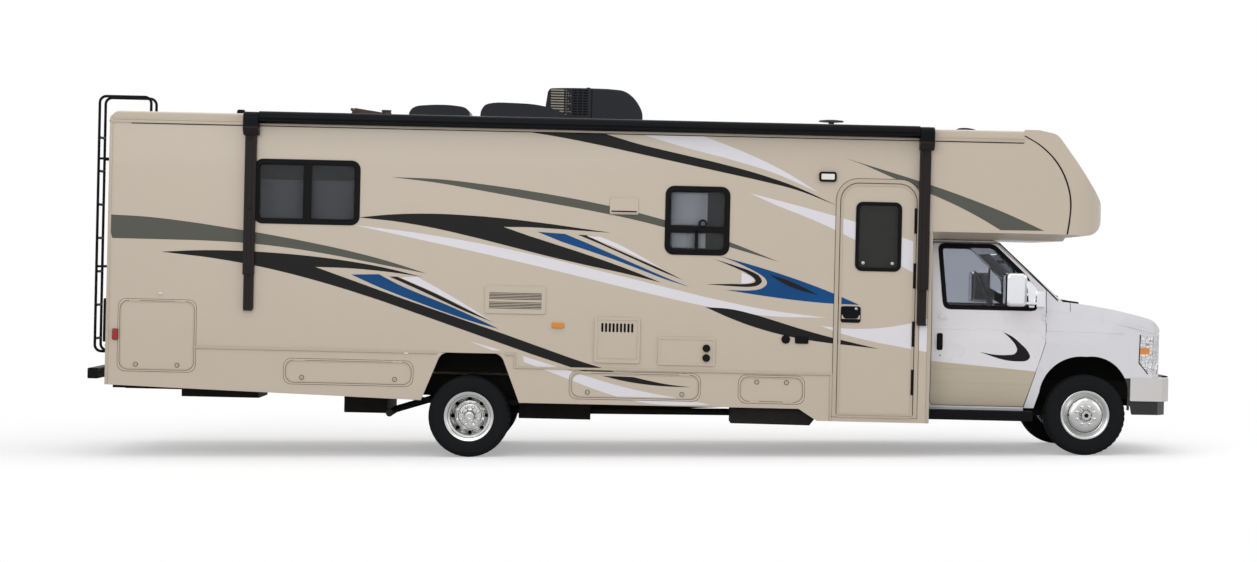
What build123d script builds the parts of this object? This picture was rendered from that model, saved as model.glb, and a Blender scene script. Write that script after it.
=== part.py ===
from build123d import *
import os

os.makedirs("parts", exist_ok=True)

# Class C motorhome on a cutaway van chassis. Millimetres, X forward, Y to the left, Z up.
# Everything above the wheels is drawn level in a body frame (u forward, w up) and then
# tipped onto the wheels by RAKE, because the body rests a little nose-down.

# ---- stance
RAKE = 1.3
LEVEL = 0.0
CENTRE_SHIFT = -8.3

# ---- fits
SEAM = 0.4
SEAT = 0.3
DOOR_GAP = 5.5
PIN_FIT = 0.05

# ---- wheels and axles, level frame
TYRE_R = 372.0
TYRE_W = 225.0
AXLE_Z = TYRE_R
REAR_X = -1505.0
FRONT_X = 4162.0
FRONT_TRACK = 881.0
DUAL_IN = 860.0
KINGPIN_Y = 800.0
BORE_R = 30.0

# wheel centres again, in the body frame
REAR_U, REAR_W = -1513.0, 337.8
FRONT_U, FRONT_W = 4152.5, 466.3

# ---- house box
HALF_W = 1276.0
WALL_T = 45.0
SKIRT_T = 30.0
REAR_U_FACE = -4834.0
FRONT_U_FACE = 2679.0
ROOF_TOP = 3057.0
ROOF_T = 90.0
ROOF_UNDER = ROOF_TOP - ROOF_T
PAN_LOW = 2062.0
PAN_TOP = 2122.0
FLOOR_TOP = 918.0
FLOOR_T = 80.0
FLOOR_UNDER = FLOOR_TOP - FLOOR_T
SEAM_REAR_W = 918.0
SEAM_FRONT_W = 800.0
SEAM_STEP_U = -1100.0
SKIRT_LOW_FRONT = 373.0

# joint between the side walls and the moulded nose over the cab
CAP_SEAM_U = 3498.0
CAP_SEAM_TOP = 3013.0
CAP_FOOT_U = CAP_SEAM_U + 407.0

# ---- openings in the right wall: u0, u1, w0, w1
WINDOW_RIGHT = [(-3510.0, -2545.0, 2060.0, 2647.0), (240.0, 828.0, 1860.0, 2485.0)]
WINDOW_LEFT = [(-3510.0, -2545.0, 2060.0, 2647.0), (-500.0, 600.0, 1860.0, 2485.0)]
WINDOW_CORNER = 85.0
REAR_WINDOW = (-420.0, 480.0, 2060.0, 2560.0)
PANE_T = 6.0
ENTRY_WIDE = 692.0
ENTRY_U1 = FRONT_U_FACE - 149.0
ENTRY_U0 = ENTRY_U1 - ENTRY_WIDE
ENTRY_W0, ENTRY_W1 = 427.0, 2546.0
ENTRY_CORNER = 165.0
ENTRY_HINGES = (700.0, 2250.0)
ENTRY_GLASS = (ENTRY_U0 + 141.0, ENTRY_U1 - 135.0, 1750.0, 2378.0)
DOOR_BAY_U = ENTRY_U0 - 54.0

# ---- hatches: name, u0, u1, w0, w1, hinge edge (1 top, 0 bottom)
HATCHES = [
    ("hatch_rear", -4707.0, -4028.0, 704.0, 1329.0, 1),
    ("hatch_mid_rear", -3190.0, -2043.0, 619.0, 819.0, 1),
    ("hatch_mid_front", -583.0, 578.0, 542.0, 761.0, 1),
    ("hatch_front", 958.0, 1528.0, 538.0, 760.0, 0),
]
HINGE_R = 6.0
PIN_R = 3.0

# ---- rear wheel arch cut, body frame corners and top corner radius
ARCH = [(-1955.0, 470.0), (-1775.0, 921.0), (-1228.0, 921.0), (-1052.0, 470.0)]
ARCH_R = 100.0

# ---- frame
RAIL_OUT = 432.0
RAIL_FLANGE = 75.0
RAIL_T = 8.0
RAIL_LOW, RAIL_TOP = 490.0, 690.0
RAIL_REAR, RAIL_FRONT = -4788.0, 4868.0
KICK_U0, KICK_U1, KICK_UP = 3560.0, 3720.0, 110.0
RAIL_RISE_TOP = 80.0

# ---- cab
CAB_REAR = FRONT_U_FACE + SEAM
CAB_LOW = 480.0
CAB_FLOOR = 720.0
DOOR_T = 60.0
FENDER_T = 30.0
HOOD_T = 25.0
FRONT_ARCH_R = 538.0
FENDER_ARCH = [(3672.0, 500.0), (3724.0, 665.0), (3846.0, 905.0), (4150.0, 1005.0), (4452.0, 900.0),
               (4540.0, 700.0)]
DOOR_HINGE_U = 3771.0
DOOR_HINGE_Y = 1004.0
DOOR_HINGES = (1180.0, 1350.0)
COWL_U, COWL_W = 3985.0, 1500.0
HOOD_HINGE_U, HOOD_HINGE_W = COWL_U + 7.5, COWL_W + 6.0
HOOD_HINGES = (-620.0, 620.0)


def block(u0, u1, y0, y1, w0, w1, mode=Mode.ADD):
    """A box by its six faces, added to the open part."""
    with Locations(((u0 + u1) / 2, (y0 + y1) / 2, (w0 + w1) / 2)):
        Box(u1 - u0, y1 - y0, w1 - w0, mode=mode)


def side_plane(y_high):
    """Sketch plane seen from the right; its extrusion runs toward smaller y."""
    return Plane.XZ.offset(-y_high)


def side_prism(points, y0, y1, radius=0.0):
    """A side-view outline between two y values, as a part of its own."""
    with BuildPart() as prism:
        with BuildSketch(side_plane(y1)) as face:
            with BuildLine():
                Polyline(*points, close=True)
            make_face()
            if radius:
                fillet(face.vertices(), radius)
        extrude(amount=y1 - y0)
    return prism.part


def both_sides(part):
    """The part and its mirror image on the other side of the vehicle."""
    return [part, mirror(part, about=Plane.XZ)]


def stood(solid, tilt):
    """A solid in its place on the vehicle, tipped if it belongs to the body."""
    tipped = solid.rotate(Axis.Y, tilt, transform=True)
    return tipped.translate((CENTRE_SHIFT, 0, 0), transform=True)


def save(parts, name, tilt=RAKE):
    """Writes one node from a part or a list of parts."""
    parts = parts if isinstance(parts, list) else [parts]
    solids = [stood(solid, tilt) for part in parts for solid in part.solids()]
    node = Compound(children=solids) if len(solids) > 1 else solids[0]
    node.label = name
    export_step(node, f"parts/{name}.step")


def hinge_turn(axis):
    """Rotation that lays an upright cylinder along the named axis."""
    return {"u": (0, 90, 0), "y": (90, 0, 0), "w": (0, 0, 0)}[axis]


def along(axis, at, shift):
    """The point at, moved by shift along the named axis."""
    step = {"u": (shift, 0, 0), "y": (0, shift, 0), "w": (0, 0, shift)}[axis]
    return (at[0] + step[0], at[1] + step[1], at[2] + step[2])


def leaf_block(axis, at, toward, half):
    """Flat hinge leaf from the barrel at a point to toward, as wide as 2 * half along the axis."""
    low, high = [], []
    for index, name in enumerate("uyw"):
        pair = sorted((at[index], at[index] + toward[index]))
        if name == axis:
            pair = (at[index] - half, at[index] + half)
        low.append(pair[0])
        high.append(pair[1])
    block(low[0], high[0], low[1], high[1], low[2], high[2])


def fixed_hinge(axis, at, toward):
    """Two barrels, the pin and leaves of one hinge, on the panel that stays."""
    turn = hinge_turn(axis)
    with Locations(at):
        Cylinder(HINGE_R + 1, 34.4, rotation=turn, mode=Mode.SUBTRACT)
        Cylinder(PIN_R, 94, rotation=turn)
    for shift in (-32.0, 32.0):
        centre = along(axis, at, shift)
        with Locations(centre):
            Cylinder(HINGE_R, 30, rotation=turn)
        leaf_block(axis, centre, toward, 15)


def moving_hinge(axis, at, toward):
    """The middle barrel and its leaf, on the panel that swings."""
    turn = hinge_turn(axis)
    for shift in (-32.0, 32.0):
        with Locations(along(axis, at, shift)):
            Cylinder(HINGE_R + 1, 31, rotation=turn, mode=Mode.SUBTRACT)
    leaf_block(axis, at, toward, 15)
    with Locations(at):
        Cylinder(HINGE_R, 33, rotation=turn)
        Cylinder(PIN_R + PIN_FIT, 33, rotation=turn, mode=Mode.SUBTRACT)


# =====================================================================
# Chassis
# =====================================================================
def rail_strip(low, high, low_front, high_front, y0, y1):
    """One web or flange of a rail, kicked up over the front axle."""
    outline = [
        (RAIL_REAR, low), (KICK_U0, low), (KICK_U1, low_front), (RAIL_FRONT, low_front),
        (RAIL_FRONT, high_front), (KICK_U1, high_front), (KICK_U0, high), (RAIL_REAR, high),
    ]
    return side_prism(outline, y0, y1)


FRONT_LOW, FRONT_TOP = RAIL_LOW + KICK_UP, RAIL_TOP + RAIL_RISE_TOP
TOWER_W = 768.3
with BuildPart() as chassis_frame:
    for side in (-1, 1):
        web0, web1 = sorted((side * RAIL_OUT, side * (RAIL_OUT - RAIL_T)))
        lip0, lip1 = sorted((side * RAIL_OUT, side * (RAIL_OUT - RAIL_FLANGE)))
        add(rail_strip(RAIL_LOW, RAIL_TOP, FRONT_LOW, FRONT_TOP, web0, web1))
        add(rail_strip(RAIL_LOW, RAIL_LOW + RAIL_T, FRONT_LOW, FRONT_LOW + RAIL_T, lip0, lip1))
        add(rail_strip(RAIL_TOP - RAIL_T, RAIL_TOP, FRONT_TOP - RAIL_T, FRONT_TOP, lip0, lip1))
        tower0, tower1 = sorted((side * (RAIL_OUT - RAIL_T), side * 655))
        block(4068, 4230, tower0, tower1, TOWER_W, TOWER_W + 10)
        for gusset_u in (4068.0, 4222.0):
            block(gusset_u, gusset_u + 8, tower0, tower1, 690, TOWER_W + 10)
    for cross_u in (-4740.0, -3400.0, -2200.0, -780.0, 900.0, 2500.0, 4760.0):
        block(cross_u - 30, cross_u + 30, -RAIL_OUT + 4, RAIL_OUT - 4, 610, 680)
save(chassis_frame.part, "chassis_frame")

with BuildPart() as engine_block:
    block(3900, 4620, -310, 310, RAIL_TOP + 15, 1230)
    block(3900, 4620, -200, 200, 520, RAIL_TOP + 15)
    mount_y = RAIL_OUT - RAIL_FLANGE - SEAT
    block(4100, 4200, -mount_y, mount_y, 735, RAIL_TOP + RAIL_RISE_TOP)
save(engine_block.part, "engine_block")

# transmission, then the open shaft down to the rear axle's pinion
SHAFT_FRONT = Vector(3040, 0, 575)
SHAFT_REAR = Vector(-1260, 0, 352)
with BuildPart() as driveline:
    block(3040, 3899.7, -170, 170, 470, 670)
    with BuildSketch(Plane(origin=SHAFT_REAR, z_dir=SHAFT_FRONT - SHAFT_REAR)):
        Circle(45)
    extrude(amount=(SHAFT_FRONT - SHAFT_REAR).length + 20)
save(driveline.part, "driveline")

AXLE_TUBE_R = 62.0
with BuildPart() as rear_axle:
    with Locations((REAR_X, 0, AXLE_Z)):
        Cylinder(AXLE_TUBE_R, 1400, rotation=(90, 0, 0))
        Cylinder(40, 2090, rotation=(90, 0, 0))
        Sphere(175)
    with Locations((REAR_X + 160, 0, AXLE_Z + 4)):
        Cylinder(60, 174, rotation=(0, 90, 0))
save(rear_axle.part, "rear_axle", LEVEL)

SPRING_Y0, SPRING_Y1 = 600.0, 670.0
SPRING_MID = REAR_W + AXLE_TUBE_R + SEAT
with BuildPart() as spring:
    with BuildSketch(side_plane(SPRING_Y1)):
        with BuildLine():
            ThreePointArc((-2160, 470), (REAR_U, SPRING_MID), (-870, 470))
            Line((-870, 470), (-870, 500))
            ThreePointArc((-870, 500), (REAR_U, SPRING_MID + 55), (-2160, 500))
            Line((-2160, 500), (-2160, 470))
        make_face()
    extrude(amount=SPRING_Y1 - SPRING_Y0)
    for hanger_u in (-2160.0, -870.0):
        block(hanger_u - 30, hanger_u + 30, RAIL_OUT + SEAT, SPRING_Y1, 465, 660)
save(both_sides(spring.part), "leaf_springs")

# open storage boxes under and through the floor: u0, u1, w0, w1, outer face y
BOX_T = 10.0
HATCH_BOX_Y = -1230.6
STORAGE = [
    (-4725.0, -4010.0, 690.0, 1345.0, HATCH_BOX_Y),
    (-3208.0, -2025.0, 600.0, FLOOR_UNDER - SEAT, HATCH_BOX_Y),
    (-601.0, 596.0, 524.0, FLOOR_UNDER - SEAT, HATCH_BOX_Y),
]
BOX_BACK = -690.0
boxes = []
for u0, u1, w0, w1, face_y in STORAGE:
    with BuildPart() as storage_box:
        block(u0, u1, face_y, BOX_BACK, w0, w1)
        block(u0 + BOX_T, u1 - BOX_T, face_y, BOX_BACK - BOX_T, w0 + BOX_T, w1 - BOX_T, Mode.SUBTRACT)
    boxes.append(storage_box.part)
save(boxes, "storage_boxes")

# tanks slung between and under the rails: u0, u1, half width, w0, w1
TANKS = [
    (-4270.0, -3545.0, RAIL_OUT - RAIL_FLANGE - SEAT, 420.0, 660.0),
    (-2715.0, -2310.0, 560.0, 315.0, RAIL_LOW - SEAT),
]
tanks = []
for u0, u1, half, w0, w1 in TANKS:
    with BuildPart() as tank:
        block(u0, u1, -half, half, w0, w1)
        fillet(tank.edges().filter_by(Axis.X), 30)
    tanks.append(tank.part)
save(tanks, "under_floor_tanks")

GEN_TOP = FLOOR_UNDER - SEAT
with BuildPart() as generator:
    with BuildSketch(side_plane(-700)):
        with BuildLine():
            Polyline(
                (880, GEN_TOP), (880, 330), (1600, 326), (1680, 430), (1680, GEN_TOP), close=True
            )
        make_face()
    extrude(amount=500)
save(generator.part, "generator")

EXHAUST_Y = -480.0
with BuildPart() as exhaust:
    with BuildLine() as exhaust_path:
        FilletPolyline(
            (3250, -260, 440),
            (2850, EXHAUST_Y, 420),
            (-900, EXHAUST_Y, 375),
            (-1180, EXHAUST_Y, 470),
            (-1850, EXHAUST_Y, 475),
            (-2240, EXHAUST_Y, 352),
            (-2240, -1200, 352),
            radius=60,
        )
    with BuildSketch(exhaust_path.line ^ 0):
        Circle(32)
    sweep()
    block(-1080, -410, -590, -440, 300, 440)
    block(-760, -730, -455, -RAIL_OUT - SEAT, 430, 560)
save(exhaust.part, "exhaust_system")

# =====================================================================
# House box
# =====================================================================
HALF_IN = HALF_W - WALL_T - SEAM


def cap_seam(shift):
    """Curved joint between side wall and overcab cap."""
    return [
        (CAP_SEAM_U + shift, CAP_SEAM_TOP),
        (CAP_SEAM_U + 433 + shift, 2468),
        (CAP_FOOT_U + shift, PAN_TOP),
    ]


def behind_cap(shift, u_low, w_high):
    """Prism of everything behind the cap's joint, as wide as the house."""
    with BuildPart() as region:
        with BuildSketch(side_plane(HALF_W + 5)):
            with BuildLine():
                ThreePointArc(*cap_seam(shift))
                Polyline(
                    (CAP_FOOT_U + shift, PAN_TOP),
                    (u_low, PAN_TOP),
                    (u_low, w_high),
                    (CAP_SEAM_U + shift, w_high),
                    (CAP_SEAM_U + shift, CAP_SEAM_TOP),
                )
            make_face()
        extrude(amount=2 * HALF_W + 10)
    return region.part


def house_wall(windows, has_door):
    """Right side wall; the left one is mirrored from it."""
    with BuildPart() as wall:
        with BuildSketch(side_plane(-HALF_W + WALL_T)):
            with BuildLine():
                ThreePointArc(*cap_seam(0))
                Polyline(
                    (CAP_FOOT_U, PAN_TOP),
                    (CAP_FOOT_U, PAN_TOP + SEAM),
                    (FRONT_U_FACE, PAN_TOP + SEAM),
                    (FRONT_U_FACE, SKIRT_LOW_FRONT),
                    (DOOR_BAY_U + SEAM, SKIRT_LOW_FRONT),
                    (DOOR_BAY_U + SEAM, SEAM_FRONT_W + SEAM),
                    (SEAM_STEP_U, SEAM_FRONT_W + SEAM),
                    (SEAM_STEP_U, SEAM_REAR_W + SEAM),
                    (REAR_U_FACE + WALL_T + SEAM, SEAM_REAR_W + SEAM),
                    (REAR_U_FACE + WALL_T + SEAM, CAP_SEAM_TOP),
                    (CAP_SEAM_U, CAP_SEAM_TOP),
                )
            make_face()
        extrude(amount=WALL_T)
        block(-5000, 4000, -HALF_W - 1, -HALF_W + WALL_T + 1, ROOF_UNDER - SEAM, 3100, Mode.SUBTRACT)
        with BuildSketch(side_plane(-HALF_W + WALL_T)):
            for u0, u1, w0, w1 in windows:
                with Locations(((u0 + u1) / 2, (w0 + w1) / 2)):
                    RectangleRounded(u1 - u0, w1 - w0, WINDOW_CORNER)
        extrude(amount=WALL_T, mode=Mode.SUBTRACT)
        add(side_prism(ARCH, -HALF_W - 1, -HALF_W + WALL_T + 1), mode=Mode.SUBTRACT)
        if has_door:
            add(entry_outline(DOOR_GAP), mode=Mode.SUBTRACT)
            add(hatch_prism(HATCHES[0], DOOR_GAP), mode=Mode.SUBTRACT)
            for hinge_w in ENTRY_HINGES:
                fixed_hinge("w", (ENTRY_U1 + 2, -HALF_W - 2, hinge_w), (14, 6, 0))
            top_hinges(HATCHES[0])
    return wall.part


def entry_outline(grow):
    """Doorway prism, larger than the door by grow on every side."""
    with BuildPart() as doorway:
        with BuildSketch(side_plane(-HALF_W + WALL_T + 60)) as face:
            with BuildLine():
                Polyline(
                    (ENTRY_U0 - grow, ENTRY_W0 - grow),
                    (ENTRY_U1 + grow, ENTRY_W0 - grow),
                    (ENTRY_U1 + grow, ENTRY_W1 + grow),
                    (ENTRY_U0 - grow, ENTRY_W1 + grow),
                    close=True,
                )
            make_face()
            fillet(face.vertices().group_by(Axis.Y)[-1], ENTRY_CORNER + grow)
            fillet(face.vertices().group_by(Axis.Y)[0], 30 + grow)
        extrude(amount=WALL_T + 120)
    return doorway.part


def hatch_prism(row, grow):
    """Outline of one hatch run through the wall, larger by grow."""
    name, u0, u1, w0, w1, top = row
    with BuildPart() as prism:
        with BuildSketch(side_plane(-HALF_W + 100)):
            with Locations(((u0 + u1) / 2, (w0 + w1) / 2)):
                RectangleRounded(u1 - u0 + 2 * grow, w1 - w0 + 2 * grow, 20 + grow)
        extrude(amount=200)
    return prism.part


def hatch_axis_w(row):
    """Height of the hinge line of a hatch, just outside its panel."""
    name, u0, u1, w0, w1, top = row
    return w1 + 2 if top else w0 - 2


def hatch_hinges(row):
    """Hinge points of one hatch and the way up its fixed leaves point."""
    name, u0, u1, w0, w1, top = row
    points = [(hinge_u, -HALF_W - 2, hatch_axis_w(row)) for hinge_u in (u0 + 130, u1 - 130)]
    return points, 18 if top else -18


def top_hinges(row):
    """Fixed half of both hinges of one hatch, on the panel that carries it."""
    points, rise = hatch_hinges(row)
    for point in points:
        fixed_hinge("u", point, (0, 6, rise))


wall_right = house_wall(WINDOW_RIGHT, True)
wall_left = mirror(house_wall(WINDOW_LEFT, False), about=Plane.XZ)
save(wall_right, "house_wall_right")
save(wall_left, "house_wall_left")

with BuildPart() as wall_rear:
    block(REAR_U_FACE, REAR_U_FACE + WALL_T, -HALF_W, HALF_W, 560, ROOF_UNDER - SEAM)
    fillet(wall_rear.edges().filter_by(Axis.Z).group_by(Axis.X)[0], 30)
    y0, y1, w0, w1 = REAR_WINDOW
    with BuildSketch(Plane.YZ.offset(REAR_U_FACE)):
        with Locations(((y0 + y1) / 2, (w0 + w1) / 2)):
            RectangleRounded(y1 - y0, w1 - w0, WINDOW_CORNER)
    extrude(amount=WALL_T, mode=Mode.SUBTRACT)
save(wall_rear.part, "house_wall_rear")

with BuildPart() as wall_front:
    block(FRONT_U_FACE - WALL_T, FRONT_U_FACE, -HALF_IN, HALF_IN, 400, PAN_TOP)
    block(FRONT_U_FACE - WALL_T, FRONT_U_FACE, -720, 720, FLOOR_TOP, 2000, Mode.SUBTRACT)
    block(FRONT_U_FACE - WALL_T, FRONT_U_FACE, -560, 560, 400, RAIL_TOP + 10, Mode.SUBTRACT)
save(wall_front.part, "house_wall_front")

with BuildPart() as roof:
    with BuildSketch(side_plane(HALF_W)):
        with BuildLine():
            CenterArc((REAR_U_FACE + ROOF_T, ROOF_UNDER), ROOF_T, 90, 90)
            Polyline(
                (REAR_U_FACE, ROOF_UNDER),
                (CAP_SEAM_U + 200, ROOF_UNDER),
                (CAP_SEAM_U + 200, ROOF_TOP),
                (REAR_U_FACE + ROOF_T, ROOF_TOP),
            )
        make_face()
    extrude(amount=2 * HALF_W)
    fillet(roof.edges().filter_by(Axis.X).group_by(Axis.Z)[-1], 25)
    add(behind_cap(0, REAR_U_FACE - 10, ROOF_TOP + 10), mode=Mode.INTERSECT)
save(roof.part, "house_roof")

# floor slab on two runners, with wells for the rear wheels, the hatch box and the steps
WELL_U0, WELL_U1, WELL_Y = -1990.0, -1015.0, 640.0
STEP_U0, STEP_U1, STEP_Y = DOOR_BAY_U + 6.0, ENTRY_U1 + 48.0, -800.0
with BuildPart() as floor:
    block(REAR_U_FACE + WALL_T + SEAM, FRONT_U_FACE - WALL_T - SEAM, -HALF_IN, HALF_IN, FLOOR_UNDER, FLOOR_TOP)
    for side in (-1, 1):
        y0, y1 = sorted((side * (RAIL_OUT - RAIL_FLANGE), side * RAIL_OUT))
        block(RAIL_REAR, 2600, y0, y1, RAIL_TOP + SEAT, FLOOR_UNDER)
        y0, y1 = sorted((side * WELL_Y, side * (HALF_W + 10)))
        block(WELL_U0, WELL_U1, y0, y1, FLOOR_UNDER - 1, FLOOR_TOP + 1, Mode.SUBTRACT)
    u0, u1, w0, w1, face_y = STORAGE[0]
    block(u0 - SEAM, u1 + SEAM, -HALF_W, BOX_BACK + SEAM, FLOOR_UNDER - 1, FLOOR_TOP + 1, Mode.SUBTRACT)
    block(STEP_U0, STEP_U1, -HALF_IN, STEP_Y, 420, FLOOR_UNDER)
    block(STEP_U0 + 10, STEP_U1 - 10, -HALF_W, STEP_Y - 10, 430, FLOOR_TOP + 1, Mode.SUBTRACT)
    block(STEP_U0 + 5, STEP_U1 - 5, STEP_Y - 200, STEP_Y - 5, 425, 670)
save(floor.part, "house_floor")

# wheel houses: rear trough over the duals, front arch over the steered wheel
with BuildPart() as rear_house:
    with BuildSketch(side_plane(-WELL_Y - SEAM)) as trough:
        with BuildLine():
            Polyline(
                (-1969, 520), (-1800, 942), (-1205, 942), (-1038, 520), (-1050, 520),
                (-1213, 932), (-1792, 932), (-1957, 520), close=True,
            )
        make_face()
    extrude(amount=HALF_IN - WELL_Y - SEAM)
    with BuildSketch(side_plane(-WELL_Y - SEAM)):
        with BuildLine():
            Polyline((-1880, 720), (-1796, 938), (-1208, 938), (-1120, 720), close=True)
        make_face()
    extrude(amount=8)


def skirt(has_hatches):
    """Right lower side panel with the rear arch cut out of it."""
    with BuildPart() as panel:
        with BuildSketch(side_plane(-HALF_W + SKIRT_T)):
            with BuildLine():
                Polyline(
                    (REAR_U_FACE + WALL_T + SEAM, SEAM_REAR_W),
                    (SEAM_STEP_U - SEAM, SEAM_REAR_W),
                    (SEAM_STEP_U - SEAM, SEAM_FRONT_W),
                    (DOOR_BAY_U, SEAM_FRONT_W),
                    (DOOR_BAY_U, SKIRT_LOW_FRONT),
                    (1663, SKIRT_LOW_FRONT),
                    (1494, 480),
                    (-1056, 477),
                    (-1955, 481),
                    (REAR_U_FACE + WALL_T + SEAM, 559),
                    close=True,
                )
            make_face()
        extrude(amount=SKIRT_T)
        with BuildSketch(side_plane(0)) as arch_face:
            with BuildLine():
                Polyline(*ARCH, close=True)
            make_face()
            fillet(arch_face.vertices().group_by(Axis.Y)[-1], ARCH_R)
        extrude(amount=2 * HALF_W, mode=Mode.SUBTRACT)
        if has_hatches:
            for row in HATCHES:
                add(hatch_prism(row, DOOR_GAP), mode=Mode.SUBTRACT)
            for row in HATCHES[1:]:
                top_hinges(row)
    return panel.part


save([skirt(True), mirror(skirt(False), about=Plane.XZ)], "side_skirts")

# ---- hatches
for row in HATCHES:
    name, u0, u1, w0, w1, top = row
    latch_w = w0 + 45 if top else w1 - 45
    with BuildPart() as hatch:
        with BuildSketch(side_plane(-HALF_W + SKIRT_T)):
            with Locations(((u0 + u1) / 2, (w0 + w1) / 2)):
                RectangleRounded(u1 - u0, w1 - w0, 20)
        extrude(amount=SKIRT_T)
        for latch_u in (u0 + 150, u1 - 150):
            with Locations((latch_u, -HALF_W - 2, latch_w)):
                Cylinder(22, 6, rotation=(90, 0, 0))
        points, rise = hatch_hinges(row)
        for point in points:
            moving_hinge("u", point, (0, 6, -rise))
    save(hatch.part, name)

# ---- entry door and its window
with BuildPart() as entry_door:
    with BuildSketch(side_plane(-HALF_W + WALL_T)) as leaf_face:
        with BuildLine():
            Polyline(
                (ENTRY_U0, ENTRY_W0), (ENTRY_U1, ENTRY_W0), (ENTRY_U1, ENTRY_W1),
                (ENTRY_U0, ENTRY_W1), close=True,
            )
        make_face()
        fillet(leaf_face.vertices().group_by(Axis.Y)[-1], ENTRY_CORNER)
        fillet(leaf_face.vertices().group_by(Axis.Y)[0], 30)
        u0, u1, w0, w1 = ENTRY_GLASS
        with Locations(((u0 + u1) / 2, (w0 + w1) / 2)):
            RectangleRounded(u1 - u0, w1 - w0, 60, mode=Mode.SUBTRACT)
    extrude(amount=WALL_T)
    for hinge_w in ENTRY_HINGES:
        moving_hinge("w", (ENTRY_U1 + 2, -HALF_W - 2, hinge_w), (-20, 6, 0))
    handle_u = ENTRY_U0 + 28
    block(handle_u, handle_u + 165, -HALF_W - 28, -HALF_W - 20, 1310, 1345)
    block(handle_u, handle_u + 14, -HALF_W - 28, -HALF_W, 1310, 1345)
    block(handle_u + 151, handle_u + 165, -HALF_W - 28, -HALF_W, 1310, 1345)
save(entry_door.part, "entry_door")

u0, u1, w0, w1 = ENTRY_GLASS
with BuildPart() as entry_pane:
    with BuildSketch(side_plane(-HALF_W + 20)):
        with Locations(((u0 + u1) / 2, (w0 + w1) / 2)):
            RectangleRounded(u1 - u0 - 2 * SEAT, w1 - w0 - 2 * SEAT, 60 - SEAT)
    extrude(amount=PANE_T)
save(entry_pane.part, "entry_door_window")

panes = []
for side, windows in ((-1, WINDOW_RIGHT), (1, WINDOW_LEFT)):
    for u0, u1, w0, w1 in windows:
        with BuildPart() as pane:
            with BuildSketch(side_plane(side * (HALF_W - 17) + PANE_T / 2)):
                with Locations(((u0 + u1) / 2, (w0 + w1) / 2)):
                    RectangleRounded(u1 - u0 - 2 * SEAT, w1 - w0 - 2 * SEAT, WINDOW_CORNER - SEAT)
            extrude(amount=PANE_T)
        panes.append(pane.part)
y0, y1, w0, w1 = REAR_WINDOW
with BuildPart() as rear_pane:
    with BuildSketch(Plane.YZ.offset(REAR_U_FACE + 14)):
        with Locations(((y0 + y1) / 2, (w0 + w1) / 2)):
            RectangleRounded(y1 - y0 - 2 * SEAT, w1 - w0 - 2 * SEAT, WINDOW_CORNER - SEAT)
    extrude(amount=PANE_T)
panes.append(rear_pane.part)
save(panes, "house_windows")

# ---- overcab cap: moulded nose over the cab with the pan under the bunk
CAP_T = 40.0
NOSE_U = CAP_SEAM_U + 771.0
PAN_HALF = 1010.0


def pan_section(inset):
    """Cross-section of the nose with the sloped sides of the pan under the bunk."""
    half, foot = HALF_W - inset, PAN_HALF - inset
    with BuildPart() as section:
        with BuildSketch(Plane.YZ.offset(FRONT_U_FACE - 100)):
            with BuildLine():
                Polyline(
                    (-half, 3200), (half, 3200), (half, PAN_TOP + inset), (foot, PAN_LOW + inset),
                    (-foot, PAN_LOW + inset), (-half, PAN_TOP + inset), close=True,
                )
            make_face()
        extrude(amount=2000)
    return section.part


def cap_solid(inset):
    """The nose as a solid; the moulding is the skin between two of these."""
    half = HALF_W - inset
    with BuildPart() as nose:
        with BuildSketch(side_plane(half)):
            with BuildLine():
                brow = (NOSE_U - 500 - inset / 2, 3039 - inset)
                brow_end = (NOSE_U - 424 - inset * 0.8, 2973 - inset * 0.6)
                tip = (NOSE_U - 44 - inset, 2457 - inset * 0.4)
                chin = (NOSE_U - 27 - inset, 2212 + inset * 0.3)
                chin_end = (NOSE_U - 148 - inset * 0.4, 2120 + inset)
                Polyline((2700, 3070 - inset), (NOSE_U - 638, 3068 - inset), brow)
                ThreePointArc(brow, (NOSE_U - 457 - inset * 0.7, 3012 - inset * 0.8), brow_end)
                Line(brow_end, tip)
                ThreePointArc(tip, (NOSE_U - inset, 2330), chin)
                ThreePointArc(chin, (NOSE_U - 74 - inset * 0.7, 2156 + inset * 0.7), chin_end)
                Polyline(
                    chin_end,
                    (NOSE_U - 593, PAN_LOW + inset),
                    (2700, PAN_LOW + inset),
                    (2700, 3070 - inset),
                )
            make_face()
        extrude(amount=2 * half)
        with BuildSketch(Plane.XY.offset(1900)):
            with BuildLine():
                side_u, cheek_u, front_u = NOSE_U - 289, NOSE_U - 79 - inset, NOSE_U - 7 - inset
                ThreePointArc((side_u, -half), (cheek_u, -half + 160), (front_u, -half + 460))
                ThreePointArc((front_u, -half + 460), (front_u + 13, 0), (front_u, half - 460))
                ThreePointArc((front_u, half - 460), (cheek_u, half - 160), (side_u, half))
                Polyline((side_u, half), (2600, half), (2600, -half), (side_u, -half))
            make_face()
        extrude(amount=1400, mode=Mode.INTERSECT)
        add(pan_section(inset), mode=Mode.INTERSECT)
    return nose.part


with BuildPart() as overcab_cap:
    add(cap_solid(0))
    add(cap_solid(CAP_T), mode=Mode.SUBTRACT)
    add(behind_cap(SEAM, 2600, 3200), mode=Mode.SUBTRACT)
    with BuildPart(mode=Mode.PRIVATE) as pan:
        block(CAB_REAR, CAP_FOOT_U, -HALF_W, HALF_W, PAN_LOW, PAN_TOP)
        add(pan_section(0), mode=Mode.INTERSECT)
    add(pan.part)
save(overcab_cap.part, "overcab_cap")

# ---- awning: roller between two heads, each on a folded arm in two sections
AWNING_Y = -HALF_W - 72.0
AWNING_W = 3022.0
AWNING_U0, AWNING_U1 = -3468.0, 2537.0
HEAD_OUT, HEAD_LOW, HEAD_TOP = 130.0, 2859.0, 3070.0
ARM_JOINT_W, ARM_FOOT_W = 1590.0, 1280.0
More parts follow.
